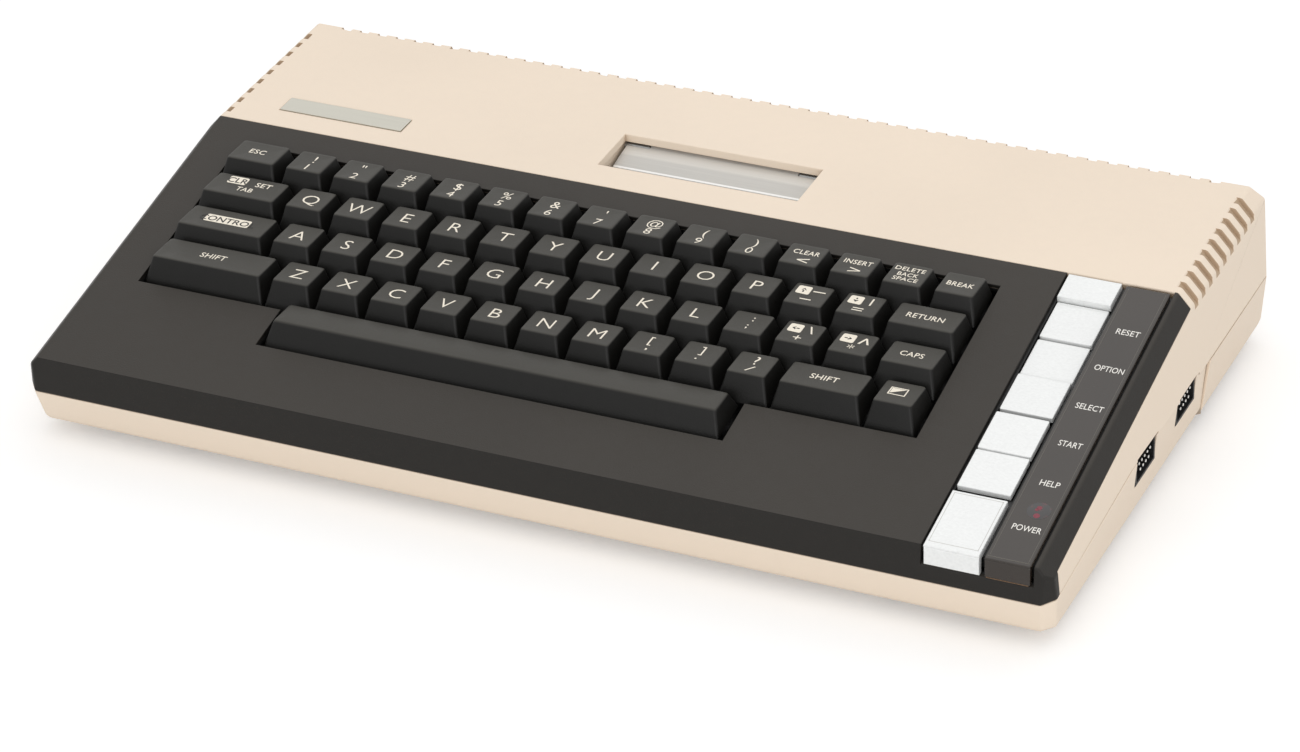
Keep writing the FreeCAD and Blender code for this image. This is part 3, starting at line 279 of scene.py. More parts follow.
def tipped(name, colour, beyond):
    """Contact pins painted dark along their shafts, as the shade deep in the socket, and bright tin
    beyond a distance to the right.
    """
    made = Finish(name)
    along = made.node("ShaderNodeSeparateXYZ", {}, (made.place,), output="X")
    speck = made.noise(3000.0)
    bright = made.blend(speck, shaded(colour, 0.9), shaded(colour, 1.0))
    # Painted shade along the shafts.
    mixed = made.blend(along.over(beyond, beyond + 0.0001), linear(40, 38, 36) + (1.0,), bright)
    made.set(Base_Color=mixed, Roughness=speck * 0.1 + 0.3)
    return made


def bent_leaf(name, colour):
    """A slot door's brushed face with painted light: paler behind its bend as its lit side, greyer
    before it as painted shade, and a painted highlight at its lip.

    Places are y in metres of the frame, and the lip is where (y - middle)^2 is small."""
    made = Finish(name)
    lines = made.noise(1.0, detail=3.0, stretch=(40.0, 2600.0, 2600.0))
    along = made.node("ShaderNodeSeparateXYZ", {}, (made.place,), output="Y")
    bend_starts, bend_ends = 0.0578, 0.0589
    lip_middle, lip_square, past_lip_square = 0.05155, 2e-7, 4e-7
    # Painted shade before the bend and painted light behind it.
    grey = made.blend(lines.over(0.3, 0.7), shaded(colour, 0.8), shaded(colour, 0.87))
    pale = made.blend(lines.over(0.3, 0.7), shaded(colour, 0.98), shaded(colour, 1.04))
    face = made.blend(along.over(bend_starts, bend_ends), grey, pale)
    from_lip = (along - lip_middle) * (along - lip_middle)
    # Painted highlight along the lip.
    bright = linear(250, 249, 246) + (1.0,)
    mixed = made.blend(from_lip.over(lip_square, past_lip_square), bright, face)
    made.set(Base_Color=mixed, Roughness=lines * 0.2 + 0.3,
             Normal=made.relief(lines, BRUSHED_DEPTH))
    made.set(Metallic=0.2)
    return made


def clear_layer(name, colour, rough, coat):
    """Glossy smoked plastic with faint fine scratches in its clear face."""
    made = Finish(name)
    cloudy = made.noise(30.0, detail=2.0)
    scratch = made.noise(1.0, detail=2.0, stretch=(260.0, 5200.0, 260.0)).over(0.62, 0.76)
    mixed = made.blend(cloudy.over(0.35, 0.65), shaded(colour, 0.92), shaded(colour, 1.08))
    made.set(Base_Color=mixed, Roughness=scratch * 0.15 + rough)
    made.set(Coat_Weight=coat, Coat_Roughness=0.06)
    return made


FINISHES = {}


def make_finishes(colours):
    """All materials of the machine, by what wears them."""
    FINISHES.update(
        # The beige's steep faces are a little darker and its crevices go tan: painted shade.
        beige=moulded("casing_beige", colours.beige, rough=0.55, grain=1900.0, depth=0.00005,
                      cloud=0.02, walls=0.97, crease_shade=linear(176, 150, 122)),
        # Painted shade: the cooling grooves' own beige drawn as a darker tan.
        groove=moulded("groove_painted_shade", linear(190, 166, 140), rough=0.6, grain=1900.0,
                       depth=0.00005, cloud=0.03, sheen=0.3),
        # The bezel's steep faces take 0.38 of its tone: painted shade.
        bezel=moulded("bezel_charcoal", colours.charcoal, rough=0.5, grain=2100.0,
                      depth=0.00009, cloud=0.08, sheen=0.3, walls=0.38),
        # The caps' walls take a tenth of the tops' tone: painted shade, with the tops as the lit
        # tone.
        cap=moulded("key_cap_brown_black", colours.cap, rough=0.44, grain=2500.0,
                    depth=0.00005, cloud=0.06, sheen=0.28, walls=0.1),
        legend=moulded("legend_cream", colours.cream, rough=0.5, grain=2500.0, depth=0.00001,
                       cloud=0.02),
        reversed=moulded("legend_dark", shaded(colours.cap, 0.35), rough=0.5, grain=2500.0,
                         depth=0.00001, cloud=0.03),
        silver=brushed("silver_coating", colours.silver, rough=0.38, metallic=0.15,
                       stretch=(900.0, 1500.0, 900.0), depth=0.00002),
        smoked=clear_layer("smoked_panel", colours.smoked, rough=0.16, coat=0.1),
        label=moulded("label_white", linear(246, 243, 236), rough=0.5, grain=2500.0,
                      depth=0.00001, cloud=0.02),
        black=moulded("moulded_black", linear(22, 22, 22), rough=0.5, grain=2100.0,
                      depth=0.00004, cloud=0.08),
        # The doors carry painted light and shade about their bend and a painted highlight at their
        # lip.
        door=bent_leaf("door_brushed_painted_light", colours.door),
        plate=brushed("plate_brushed", linear(206, 203, 191), rough=0.36, metallic=0.6,
                      stretch=(30.0, 3200.0, 3200.0)),
        steel=brushed("steel_plain", linear(172, 172, 170), rough=0.34, metallic=0.85,
                      stretch=(300.0, 1200.0, 900.0)),
        plated=brushed("contact_plated", linear(214, 200, 160), rough=0.3, metallic=0.7,
                       stretch=(700.0, 700.0, 700.0)),
        # The pins' shafts carry painted shade.
        pin=tipped("contact_tinned", linear(252, 250, 244), beyond=0.1881),
        # Painted highlights along the smoked panel's bevels.
        edge=moulded("panel_bevel_highlight", linear(84, 79, 72), rough=0.3, grain=2500.0,
                     depth=0.00001, cloud=0.02),
        seam=moulded("trim_seam", linear(206, 205, 200), rough=0.4, grain=2500.0,
                     depth=0.00001, cloud=0.02),
        # Painted light on the smoked panel's lower edge.
        amber=moulded("panel_lower_edge_painted_light", linear(170, 136, 106), rough=0.35, grain=2500.0,
                      depth=0.00001, cloud=0.05),
        board=moulded("board_green", linear(38, 92, 60), rough=0.35, grain=1500.0,
                      depth=0.00003, cloud=0.1),
        chip=moulded("chip_black", linear(34, 34, 36), rough=0.55, grain=1800.0,
                     depth=0.00005, cloud=0.1),
        film=moulded("film_amber", linear(206, 190, 140), rough=0.3, grain=900.0,
                     depth=0.00001, cloud=0.04),
        rubber=moulded("foot_rubber", linear(40, 39, 38), rough=0.75, grain=1400.0,
                       depth=0.00008, cloud=0.1, sheen=0.3),
        lamp=lamp_finish(),
        glint=moulded("lamp_glint", linear(122, 40, 56), rough=0.3, grain=900.0,
                      depth=0.00003, cloud=0.2),
    )


def lamp_finish():
    """The unlit lamp behind the smoked face: a dark disc with two dull red glints in it."""
    made = Finish("lamp_dull_red")
    spots = made.noise(420.0, detail=3.0).over(0.52, 0.68)
    mixed = made.blend(spots, linear(20, 15, 14) + (1.0,), linear(70, 24, 28) + (1.0,))
    made.set(Base_Color=mixed, Roughness=spots * 0.1 + 0.2)
    made.set(Coat_Weight=0.5, Coat_Roughness=0.08)
    return made


# Surfaces


def band(levels, around):
    """Quads between neighbouring rings and one flat face over each end."""
    ring = np.arange(around)
    after = (ring + 1) % around
    low = (np.arange(levels - 1) * around)[:, None]
    quads = np.stack([low + ring, low + after, low + around + after, low + around + ring], -1)
    last = (levels - 1) * around
    return ([tuple(q) for q in quads.reshape(-1, 4).tolist()]
            + [tuple(ring[::-1].tolist()), tuple((last + ring).tolist())])


def gathered(parts):
    """Several (points, faces) surfaces as one."""
    points, faces, base = [], [], 0
    for spots, sides in parts:
        points.append(np.asarray(spots, float).reshape(-1, 3))
        faces.extend(tuple(i + base for i in side) for side in sides)
        base += len(points[-1])
    return np.concatenate(points), faces


CREASE_ANGLE = math.radians(38.0)


def piece(name, surface, finish, body, stands_for=(), place=on_panel):
    """Turns a surface, on the key panel where no other place is given, into an object."""
    points, faces = surface
    mesh = bpy.data.meshes.new(name)
    mesh.from_pydata(place(points), [], faces)
    mesh.validate()
    mesh.materials.append(FINISHES[finish].material)
    mesh.shade_smooth()
    mesh.set_sharp_from_angle(angle=CREASE_ANGLE)
    settle(name, mesh, body, stands_for)


def settle(name, mesh, body, stands_for=()):
    """An object of the mesh that rides on a body and stands for some of the frame's solids."""
    made = bpy.data.objects.new(name, mesh)
    bpy.context.scene.collection.objects.link(made)
    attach(made, body)
    if stands_for:
        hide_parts(*stands_for)
    return made


def rounded(wide, deep, radius, steps=5):
    """A rectangle with round corners about zero: corner centre + radius (cos, sin)."""
    turn = np.linspace(0.0, np.pi / 2, steps + 1)[None] + np.arange(4)[:, None] * np.pi / 2
    across = np.array([1, -1, -1, 1])[:, None]
    along = np.array([1, 1, -1, -1])[:, None]
    x = across * (wide / 2 - radius) + radius * np.cos(turn)
    y = along * (deep / 2 - radius) + radius * np.sin(turn)
    return np.stack([x, y], -1).reshape(-1, 2)


def spread(corners, shares):
    """The bilinear place between four corners: front left, front right, rear right, rear left."""
    a, b = shares[:, :1], shares[:, 1:]
    return ((1 - a) * (1 - b) * corners[0] + a * (1 - b) * corners[1]
            + a * b * corners[2] + (1 - a) * b * corners[3])


def rectangle(left, right, front, rear, low):
    """Four corners at one height: front left, front right, rear right, rear left."""
    return [(left, front, low), (right, front, low), (right, rear, low), (left, rear, low)]


class Cap:
    """A hollow tapered key cap: rings run from its ceiling out, down, under and up to its top.

    The outer wall is the straight blend from foot to top, the rim a quadratic curve whose
    middle control ring is the sharp edge, and the top sinks by dish (2g - g^2), where g runs
    from 0 at the rim to 1 in the middle."""

    TIGHTER = 0.8
    DISH_STEPS = (0.15, 0.35, 0.6, 0.9)
    RIM_STEPS = 6

    def __init__(self, foot, top, dish, corner, rim, wall):
        self.foot = np.array(foot, float)
        self.top = np.array(top, float)
        self.dish = dish
        self.corner = corner
        self.rim = rim
        self.wall = wall
        self.wide = self.top[1, 0] - self.top[0, 0]
        self.deep = float(np.hypot(*(self.top[3] - self.top[0])[1:]))
        self.half = min(self.wide, self.deep) / 2

    def ring(self, corners, inset, radius, drop=0.0):
        """A rounded rectangle inside four corners, in from them by inset and down by drop."""
        wide = corners[1, 0] - corners[0, 0]
        deep = np.hypot(*(corners[3] - corners[0])[1:])
        flat = rounded(wide - 2 * inset, deep - 2 * inset, radius)
        spots = spread(corners, flat / (wide, deep) + 0.5)
        spots[:, 2] -= drop
        return spots

    def rings(self):
        """All rings of the cap's skin, from the middle of its ceiling to that of its top."""
        tall = self.top[0, 2] - self.foot[0, 2]
        ceiling = self.top - (0, 0, self.wall)
        below_rim = self.rim * 1.1
        side = self.foot + (self.top - self.foot) * (1 - below_rim / tall)
        lower = self.ring(side, 0.0, self.corner)
        edge = self.ring(self.top, 0.0, self.corner)
        upper = self.ring(self.top, self.rim, self.corner * self.TIGHTER)
        q = np.linspace(0.0, 1.0, self.RIM_STEPS)[:, None, None]
        rim = (1 - q) ** 2 * lower + 2 * q * (1 - q) * edge + q ** 2 * upper
        middle, fillet, inner_corner = 0.6, 0.4, 0.5
        levels = [self.ring(ceiling, self.half - middle, middle / 2),
                  self.ring(ceiling, self.wall + fillet, inner_corner),
                  self.ring(self.foot, self.wall, inner_corner),
                  self.ring(self.foot, 0.0, self.corner * self.TIGHTER),
                  self.ring(self.foot + (self.top - self.foot) * 0.5, 0.0, self.corner)]
        levels.extend(rim)
        for g in self.DISH_STEPS:
            inset = self.rim + (self.half - self.rim) * g
            radius = min(self.corner, self.half - inset) * self.TIGHTER
            levels.append(self.ring(self.top, inset, radius, self.dish * (2 * g - g * g)))
        return np.array(levels)

    def surface(self, stems):
        """The cap's skin and its stems as one surface."""
        levels = self.rings()
        shape = (levels.reshape(-1, 3), band(*levels.shape[:2]))
        return gathered([shape] + [rod(*stem) for stem in stems])

    def on_top(self, points, across, along, lift):
        """Flat marks, in millimetres about their middle, laid on the dished top."""
        points = np.asarray(points, float)
        u = points[:, 0] + across
        v = points[:, 1] + along
        shares = np.stack([u / self.wide, v / self.deep], -1) + 0.5
        inset = np.minimum(self.wide / 2 - np.abs(u), self.deep / 2 - np.abs(v)) - self.rim
        g = np.clip(inset / (self.half - self.rim), 0.0, 1.0)
        spots = spread(self.top, shares)
        spots[:, 2] += lift + points[:, 2] - self.dish * (2 * g - g * g)
        return spots


def rod(x, v, low, high, radius, around=16):
    """An upright rod as two rings."""
    turn = np.arange(around) * 2 * np.pi / around
    ring = np.stack([x + radius * np.cos(turn), v + radius * np.sin(turn)], -1)
    levels = np.array([np.column_stack([ring, np.full(around, n)]) for n in (low, high)])
    return levels.reshape(-1, 3), band(2, around)


def coil(x, v, low, high, radius=3.3, wire=0.2, turns=5, steps=14, sides=5):
    """An open spring: at the share t of its height a point lies radius + wire cos p out from
    the axis, at the angle 2 pi turns t, and wire sin p below the wire's middle."""
    t = np.linspace(0.0, 1.0, turns * steps + 1)[:, None]
    p = np.arange(sides)[None] * 2 * np.pi / sides
    turn = 2 * np.pi * turns * t
    out = radius + wire * np.cos(p)
    spots = np.stack([x + out * np.cos(turn), v + out * np.sin(turn),
                      low + (high - low) * t - wire * np.sin(p)], -1)
    return spots.reshape(-1, 3), band(turns * steps + 1, sides)


def turned(radii, heights, around):
    """A profile of radii r and heights turned about z: x = r cos(turn), y = r sin(turn)."""
    turn = (np.arange(around) * 2 * np.pi / around)[None]
    radii = np.asarray(radii, float)[:, None]
    spots = np.stack([radii * np.cos(turn), radii * np.sin(turn),
                      np.repeat(np.asarray(heights, float)[:, None], around, 1)], -1)
    return spots.reshape(-1, 3), band(len(radii), around)


# Lettering

# A capital's height as a share of the letters' size
CAPITAL_SHARE = 0.729


def words(text, height, weight=0.0, spacing=1.0, wide=None):
    """A word whose capitals have the given height, centred on zero, as a thin closed mesh.

    With wide given, it is stretched to that width."""
    curve = bpy.data.curves.new("word", "FONT")
    curve.body = text
    curve.size = height / CAPITAL_SHARE
    curve.offset = weight
    curve.extrude = MARK_HALF_THICKNESS
    curve.resolution_u = 3
    curve.space_character = spacing
    holder = bpy.data.objects.new("word", curve)
    mesh = bpy.data.meshes.new_from_object(holder)
    spots = np.empty(len(mesh.vertices) * 3)
    mesh.vertices.foreach_get("co", spots)
    spots = spots.reshape(-1, 3)
    sides = [tuple(side.vertices) for side in mesh.polygons]
    bpy.data.objects.remove(holder)
    bpy.data.curves.remove(curve)
    bpy.data.meshes.remove(mesh)
    low, high = spots[:, 0].min(), spots[:, 0].max()
    spots[:, 0] -= (low + high) / 2
    spots[:, 1] -= height / 2
    if wide:
        spots[:, 0] *= wide / (high - low)
    return spots, sides


def slab(outline):
    """A thin plate with the given outline."""
    outline = np.asarray(outline, float)
    count = len(outline)
    levels = np.array([np.column_stack([outline, np.full(count, n)])
                       for n in (-MARK_HALF_THICKNESS, MARK_HALF_THICKNESS)])
    return levels.reshape(-1, 3), band(2, count)


def bar(wide, tall, lean=0.0):
    """A straight stroke, leaning to the right by lean at its top."""
    return slab([(-wide / 2 - lean / 2, -tall / 2), (wide / 2 - lean / 2, -tall / 2),
                 (wide / 2 + lean / 2, tall / 2), (-wide / 2 + lean / 2, tall / 2)])


def box_of(wide, tall):
    """A plate with round corners."""
    return slab(rounded(wide, tall, 0.75, 4))


def arrow(turns):
    """A small arrow that points up, then is turned by quarter turns to the left."""
    shape = np.array([(-0.28, -1.35), (0.28, -1.35), (0.28, 0.0), (0.95, 0.0), (0.0, 1.3),
                      (-0.95, 0.0), (-0.28, 0.0)])
    for _ in range(turns):
        shape = np.stack([-shape[:, 1], shape[:, 0]], -1)
    return slab(shape)


def moved(surface, across, along, up=0.0):
    """The surface with each point shifted by the three distances."""
    spots, sides = surface
    return spots + (across, along, up), sides


def outlined(wide, tall, line):
    """A rectangle of four strokes."""
    return gathered([moved(bar(wide, line), 0, side * (tall - line) / 2) for side in (-1, 1)]
                    + [moved(bar(line, tall - 2 * line), side * (wide - line) / 2, 0)
                       for side in (-1, 1)])


def letter(text):
    """One large letter in the middle of a cap."""
    return [(words(text, 6.3, -0.09), 0.0, 0.1, 0)]


def small(text, along, height, across, wide):
    """A small word of a given height and width."""
    return (words(text, height, 0.02, 1.05, wide), across, along, 0)


def pair(upper, lower):
    """A sign over a digit."""
    return [(words(upper, 4.6, -0.03), 0.5, 2.4, 0), (words(lower, 4.3, -0.03), 0.0, -3.3, 0)]


def cursor(turns, mark, low):
    """A cream box with a dark arrow, a mark beside it and one below it."""
    return [(box_of(4.9, 5.0), -2.9, 2.6, 0), (arrow(turns), -2.9, 2.6, 1),
            (mark, 2.7, 2.8, 0), (low, -0.2, -3.0, 0)]


def boxed(text, height, wide, tall, across, along):
    """A dark word in a cream box."""
    return [(box_of(wide, tall), across, along, 0),
            (words(text, height, 0.05, 1.0), across, along, 1)]


# Each row of keys from the front to the rear, as node, width in pitches and marks
ROWS = [
    ("left_shift_key", 2.5, ["SHIFT"]), ("bank_z_to_b", 1, list("ZXCVB")),
    ("bank_n_to_slash", 1, list("NM,./")), ("right_shift_key", 1.75, ["SHIFT"]),
    ("symbol_key", 1, ["SYMBOL"]), None,
    ("control_key", 2, ["CONTROL"]), ("bank_a_to_g", 1, list("ASDFG")),
    ("bank_h_to_star", 1, list("HJKL;+*")), ("caps_key", 1.25, ["CAPS"]), None,
    ("tab_key", 1.75, ["TAB"]), ("bank_q_to_t", 1, list("QWERT")),
    ("bank_y_to_equals", 1, list("YUIOP-=")), ("return_key", 1.5, ["RETURN"]), None,
    ("escape_key", 1.25, ["ESC"]), ("bank_1_to_5", 1, list("12345")),
    ("bank_6_to_right_angle", 1, list("67890<>")), ("delete_key", 1, ["DELETE"]),
    ("break_key", 1, ["BREAK"]),
]
OVER_DIGIT = dict(zip("1234567890", "!\"#$%&'@()"))


def legend(mark):
    """The marks on one key as (surface, across, along, layer), from the middle of its top.

    Layer 0 is cream and lies on the cap, layer 1 is dark and lies on layer 0."""
    if mark in OVER_DIGIT:
        return pair(OVER_DIGIT[mark], mark)
    if len(mark) == 1 and mark.isalpha():
        return letter(mark)
    plain = {
        ",": [(words("[", 4.4, -0.03), 0.1, 2.4, 0), (words(",", 4.6), 0.5, -1.6, 0)],
        ".": [(words("]", 4.4, -0.03), -0.2, 2.6, 0), (words(".", 4.6), -0.5, -1.4, 0)],
        "/": [(words("?", 5.2, -0.03), 0.4, 2.6, 0), (bar(0.6, 3.4, 2.4), 0.1, -3.0, 0)],
        ";": [(words(":", 3.7), 0.7, 3.5, 0), (words(";", 3.7), 0.2, -1.4, 0)],
        "<": [small("CLEAR", 2.0, 2.9, 0.3, 9.6), (words("<", 5.0, 0.0, 1.0, 4.2), 0.9, -3.4, 0)],
        ">": [small("INSERT", 2.0, 2.9, 0.3, 10.2), (words(">", 5.0, 0.0, 1.0, 4.2), 0.9, -3.4, 0)],
        "-": cursor(0, bar(4.5, 0.6), bar(4.0, 0.6)),
        "=": cursor(2, bar(0.6, 4.4), gathered([moved(bar(3.8, 0.55), 0, side * 0.75)
                                                for side in (-1, 1)])),
        "+": cursor(1, bar(0.6, 4.4, -1.7), words("+", 4.6, -0.02)),
        "*": cursor(3, moved(words("^", 7.4, -0.05), 0.4, -1.6), words("*", 4.6, -0.02)),
        "DELETE": [small("DELETE", 3.6, 2.5, -0.3, 10.8), small("BACK", 0.1, 2.5, 0.0, 7.4),
                   small("SPACE", -3.2, 2.5, 0.2, 9.0)],
        "BREAK": [small("BREAK", 0.1, 2.9, 0.0, 9.6)],
        "ESC": [small("ESC", 0.6, 3.0, -0.5, 6.2)],
        "TAB": boxed("CLR", 3.2, 7.4, 4.6, -5.0, 3.4)
               + [small("SET", 3.0, 2.9, 5.6, 6.2), small("TAB", -1.6, 2.9, 0.2, 6.4)],
        "CONTROL": boxed("CONTROL", 3.3, 17.6, 4.8, -0.2, 0.4),
        "CAPS": [small("CAPS", 0.4, 3.0, -0.6, 8.4)],
        "RETURN": [small("RETURN", 0.2, 3.1, -0.6, 13.4)],
        "SHIFT": [small("SHIFT", 0.4, 3.1, -0.6, 10.0)],
        "SYMBOL": [(outlined(6.2, 4.6, 0.4), -0.8, 0.8, 0),
                   (slab([(-2.4, -1.6), (2.4, 1.6), (-2.4, 1.6)]), -0.9, 0.9, 0)],
    }
    return plain[mark]


# Pieces made from the frame's own solids


def outside(spots, normals):
    """True where a point 25 mm out along a face's normal is clear of the wedge."""
    reach = 0.025
    x, y, z = from_frame(spots + normals * reach)
    roof = np.where(y < DECK_Y, panel_height(y), deck_height(y))
    beside = (np.abs(x) > CASE_HALF_WIDTH + 0.5) | (y < -1.0) | (y > CASE_DEPTH + 1.0)
    return beside | (z < 0.0) | (z > roof + 0.5)


def inner_faces(spots, clear):
    """1 for faces inside the key well and the console strip, which are dark, and 0 elsewhere."""
    x, y, z = from_frame(spots)
    well_half_width = 184.5
    strip_left, strip_right = 143.5, 182.2
    strip_low, strip_under_panel = 14.5, 1.0
    well = ~clear & (np.abs(x) < well_half_width)
    strip = ((x > strip_left) & (x < strip_right)
             & (z > strip_low) & (z < panel_height(y) - strip_under_panel))
    return ((y < DECK_Y) & (well | strip)).astype(int)


def groove_faces(over, cross, out):
    """True for a groove's walls, which face along the chamfer, and for its floor.

    over is a face's distance off the chamfer's plane, cross its normal's share along the
    chamfer and out its share off the plane."""
    inside = (over > -GROOVE_DEPTH - 0.1) & (over < -0.2)
    wall = np.abs(cross) > 0.98
    floor = (over < 0.1 - GROOVE_DEPTH) & (out > 0.99)
    return inside & (wall | floor)


def in_groove(spots, normals):
    """1 for the floors and walls of the cooling grooves along the rear and side chamfers, which wear
    a darker tan as painted shade.

    The distance off a chamfer of run r and drop d is (r across + d up) / hypot(r, d)."""
    x, y, z = from_frame(spots)
    run, drop = SIDE_CHAMFER
    slant = math.hypot(run, drop)
    over = ((np.abs(x) - SIDE_CHAMFER_X) * run + (z - deck_height(y)) * drop) / slant
    out = (np.abs(normals[:, 0]) * run + normals[:, 2] * drop) / slant
    along = (y > 139.0) & (y < 213.0) & (np.abs(x) > 179.0)
    on_side = along & groove_faces(over, normals[:, 1], out)
    run, drop = REAR_CHAMFER
    slant = math.hypot(run, drop)
    over = ((y - DECK_END_Y) * run + (z - DECK_END_Z) * drop) / slant
    out = (normals[:, 1] * run + normals[:, 2] * drop) / slant
    along = (y > 211.0) & (np.abs(x) < 176.0)
    on_rear = along & groove_faces(over, normals[:, 0], out)
    return (on_side | on_rear).astype(int)


# Metres, as the solids' meshes are, and radians
JOIN_WITHIN = 2e-6
FLAT_ANGLE = math.radians(0.6)
SHARP_ANGLE = 0.2
SHORT_EDGE = 0.0022
FOOT_LEVEL = 0.0062


def softened(node, finish, width, inner, foot=None, lining=None):
    """A copy of a solid with its triangles joined and its outer edges rounded by weight.

    Edges between two outer faces get the full width, convex edges with one outer face get the inner
    share, and with foot given, only the lowest edges get the full width. With lining given, the faces
    inside the key well and the strip wear that finish, and the faces of the cooling grooves wear a
    darker tan as painted shade."""
    kinds = [finish, lining, "groove"] if lining else [finish]
    mesh = NODES[node].data.copy()
    mesh.materials.clear()
    for wanted in kinds:
        mesh.materials.append(FINISHES[wanted].material)
    work = bmesh.new()
    work.from_mesh(mesh)
    bmesh.ops.remove_doubles(work, verts=work.verts, dist=JOIN_WITHIN)
    bmesh.ops.dissolve_limit(work, angle_limit=FLAT_ANGLE, verts=work.verts, edges=work.edges)
    work.faces.ensure_lookup_table()
    centres = np.array([face.calc_center_median() for face in work.faces])
    normals = np.array([face.normal for face in work.faces])
    clear = outside(centres, normals)
    weights = work.edges.layers.float.new("bevel_weight_edge")
    for edge in work.edges:
        if len(edge.link_faces) != 2 or not edge.is_convex:
            continue
        if edge.calc_face_angle() < SHARP_ANGLE:
            continue
        score = sum(int(clear[face.index]) for face in edge.link_faces)
        share = (0.0, inner, 1.0)[score]
        if score < 2 and edge.calc_length() < SHORT_EDGE:
            share = 0.0
        if foot and score == 2:
            low = max(vert.co.z for vert in edge.verts) < FOOT_LEVEL
            share = 1.0 if low else foot
        edge[weights] = share
    if lining:
        # Faces of the cooling grooves take index 2, the darker tan of painted shade.
        wear = inner_faces(centres, clear) + 2 * in_groove(centres, normals)
        for face in work.faces:
            face.material_index = int(wear[face.index])
    work.to_mesh(mesh)
    work.free()
    mesh.shade_flat()
    made = settle(node + "_rounded", mesh, "case", (node,))
    bevel = made.modifiers.new("edges", "BEVEL")
    bevel.limit_method = "WEIGHT"
    bevel.width = width / 1000.0
    bevel.segments = 5
    bevel.use_clamp_overlap = False


def drawn_out(node, finish, beyond, by):
    """A copy of a solid whose part beyond a distance to the right reaches out a little further."""
    mesh = NODES[node].data.copy()
    spots = np.empty(len(mesh.vertices) * 3)
    mesh.vertices.foreach_get("co", spots)
    spots = spots.reshape(-1, 3)
    spots[spots[:, 0] > beyond, 0] += by
    mesh.vertices.foreach_set("co", spots.ravel())
    mesh.materials.clear()
    mesh.materials.append(FINISHES[finish].material)
    settle(node + "_near", mesh, "case", (node,))


def dressed(node, finish, width):
    """A solid that stays as it is, with its finish and its edges broken by a small width."""
    solid = NODES[node]
    solid.data.materials.clear()
    solid.data.materials.append(FINISHES[finish].material)
    if width:
        weld = solid.modifiers.new("joined", "WELD")
        weld.merge_threshold = JOIN_WITHIN
        bevel = solid.modifiers.new("edges", "BEVEL")
        bevel.limit_method = "ANGLE"
        bevel.angle_limit = math.radians(40.0)
        bevel.width = width / 1000.0
        bevel.segments = 2
        bevel.use_clamp_overlap = False
        bevel.harden_normals = True


# Settings


def length(name, meaning, default):
    """A setting in millimetres, as all sizes of the script are."""
    return bpy.props.FloatProperty(name=name, description=meaning, default=default, min=0.0,
                                   unit="NONE")


def colour(name, meaning, *screen):
    """A colour setting, given as the screen shows it."""
    return bpy.props.FloatVectorProperty(name=name, description=meaning, subtype="COLOR", size=3,
                                         min=0.0, max=1.0, default=linear(*screen))


def angle(name, meaning, degrees):
    """An angle setting, given in degrees."""
    return bpy.props.FloatProperty(name=name, description=meaning, subtype="ANGLE",
                                   default=math.radians(degrees))


def power(name, meaning, watts):
    """A lamp's power."""
    return bpy.props.FloatProperty(name=name, description=meaning, subtype="POWER", min=0.0,
                                   default=watts)


class ComputerSizes(bpy.types.PropertyGroup):
    """Roundings of caps and casing."""

    cap_corner: length("Cap corner", "Radius of a key cap's upright edges, mm", 1.1)
    cap_rim: length("Cap rim", "Width of the rounding round a key's top, mm", 0.6)
    cap_dish: length("Cap dish", "Depth of the hollow in a key's top, mm", 0.28)
    casing_edge: length("Casing edge", "Rounding of the beige deck's outer edges, mm", 0.9)
    bezel_edge: length("Bezel edge", "Rounding of the dark panel's outer edges, mm", 0.7)
    foot_edge: length("Lower edge", "Rounding under the casing, mm", 3.0)
    trim_edge: length("Trim edge", "Rounding of trims and label panel, mm", 0.45)


class ComputerColours(bpy.types.PropertyGroup):
    """Colours of what shows from a step away."""

    beige: colour("Casing", "Beige of the casing", 244, 227, 207)
    charcoal: colour("Bezel", "Dark warm grey of the key panel", 54, 50, 45)
    cap: colour("Key caps", "Brown black of the key caps", 66, 64, 59)
    cream: colour("Legends", "Cream of the legends", 250, 241, 224)
    silver: colour("Console keys", "Silver white of the console keys", 240, 241, 240)
    smoked: colour("Label panel", "Brown of the smoked label panel", 50, 43, 37)
    door: colour("Slot doors", "Light grey of the slot doors", 216, 213, 207)


class ComputerStage(bpy.types.PropertyGroup):
    """Camera and light."""

    lens: bpy.props.FloatProperty(name="Lens", description="Focal length, mm", default=127.45,
                                  subtype="DISTANCE_CAMERA")
    turn: angle("Turn", "Camera's turn to the right", 25.40)
    raise_by: angle("Height", "Camera's angle above level", 30.66)
    roll: angle("Roll", "Camera's roll", -2.2243)
    ambient: bpy.props.FloatProperty(name="Ambient", description="Strength of the light all round",
                                     default=0.76, min=0.0)
    overhead: power("Overhead", "Power of the lamp above", 4.0)
    front: power("Front", "Power of the lamp in front", 8.5)


# Operators


class FinishesOperator(bpy.types.Operator):
    """Every material of the machine."""

    bl_idname = "computer.finishes"
    bl_label = "Finishes"

    def execute(self, context):
        make_finishes(context.scene.computer_colours)
        return {"FINISHED"}


class CasingOperator(bpy.types.Operator):
    """Beige halves with rounded edges and the dark key panel over them."""

    bl_idname = "computer.casing"
    bl_label = "Casing"

    def execute(self, context):
        sizes = context.scene.computer_sizes
        softened("upper_case", "beige", sizes.casing_edge, 0.35, lining="black")
        softened("lower_case", "beige", sizes.foot_edge, 0.08, foot=0.22,
                 lining="black")
        softened("keyboard_bezel", "bezel", sizes.bezel_edge, 0.35)
        return {"FINISHED"}


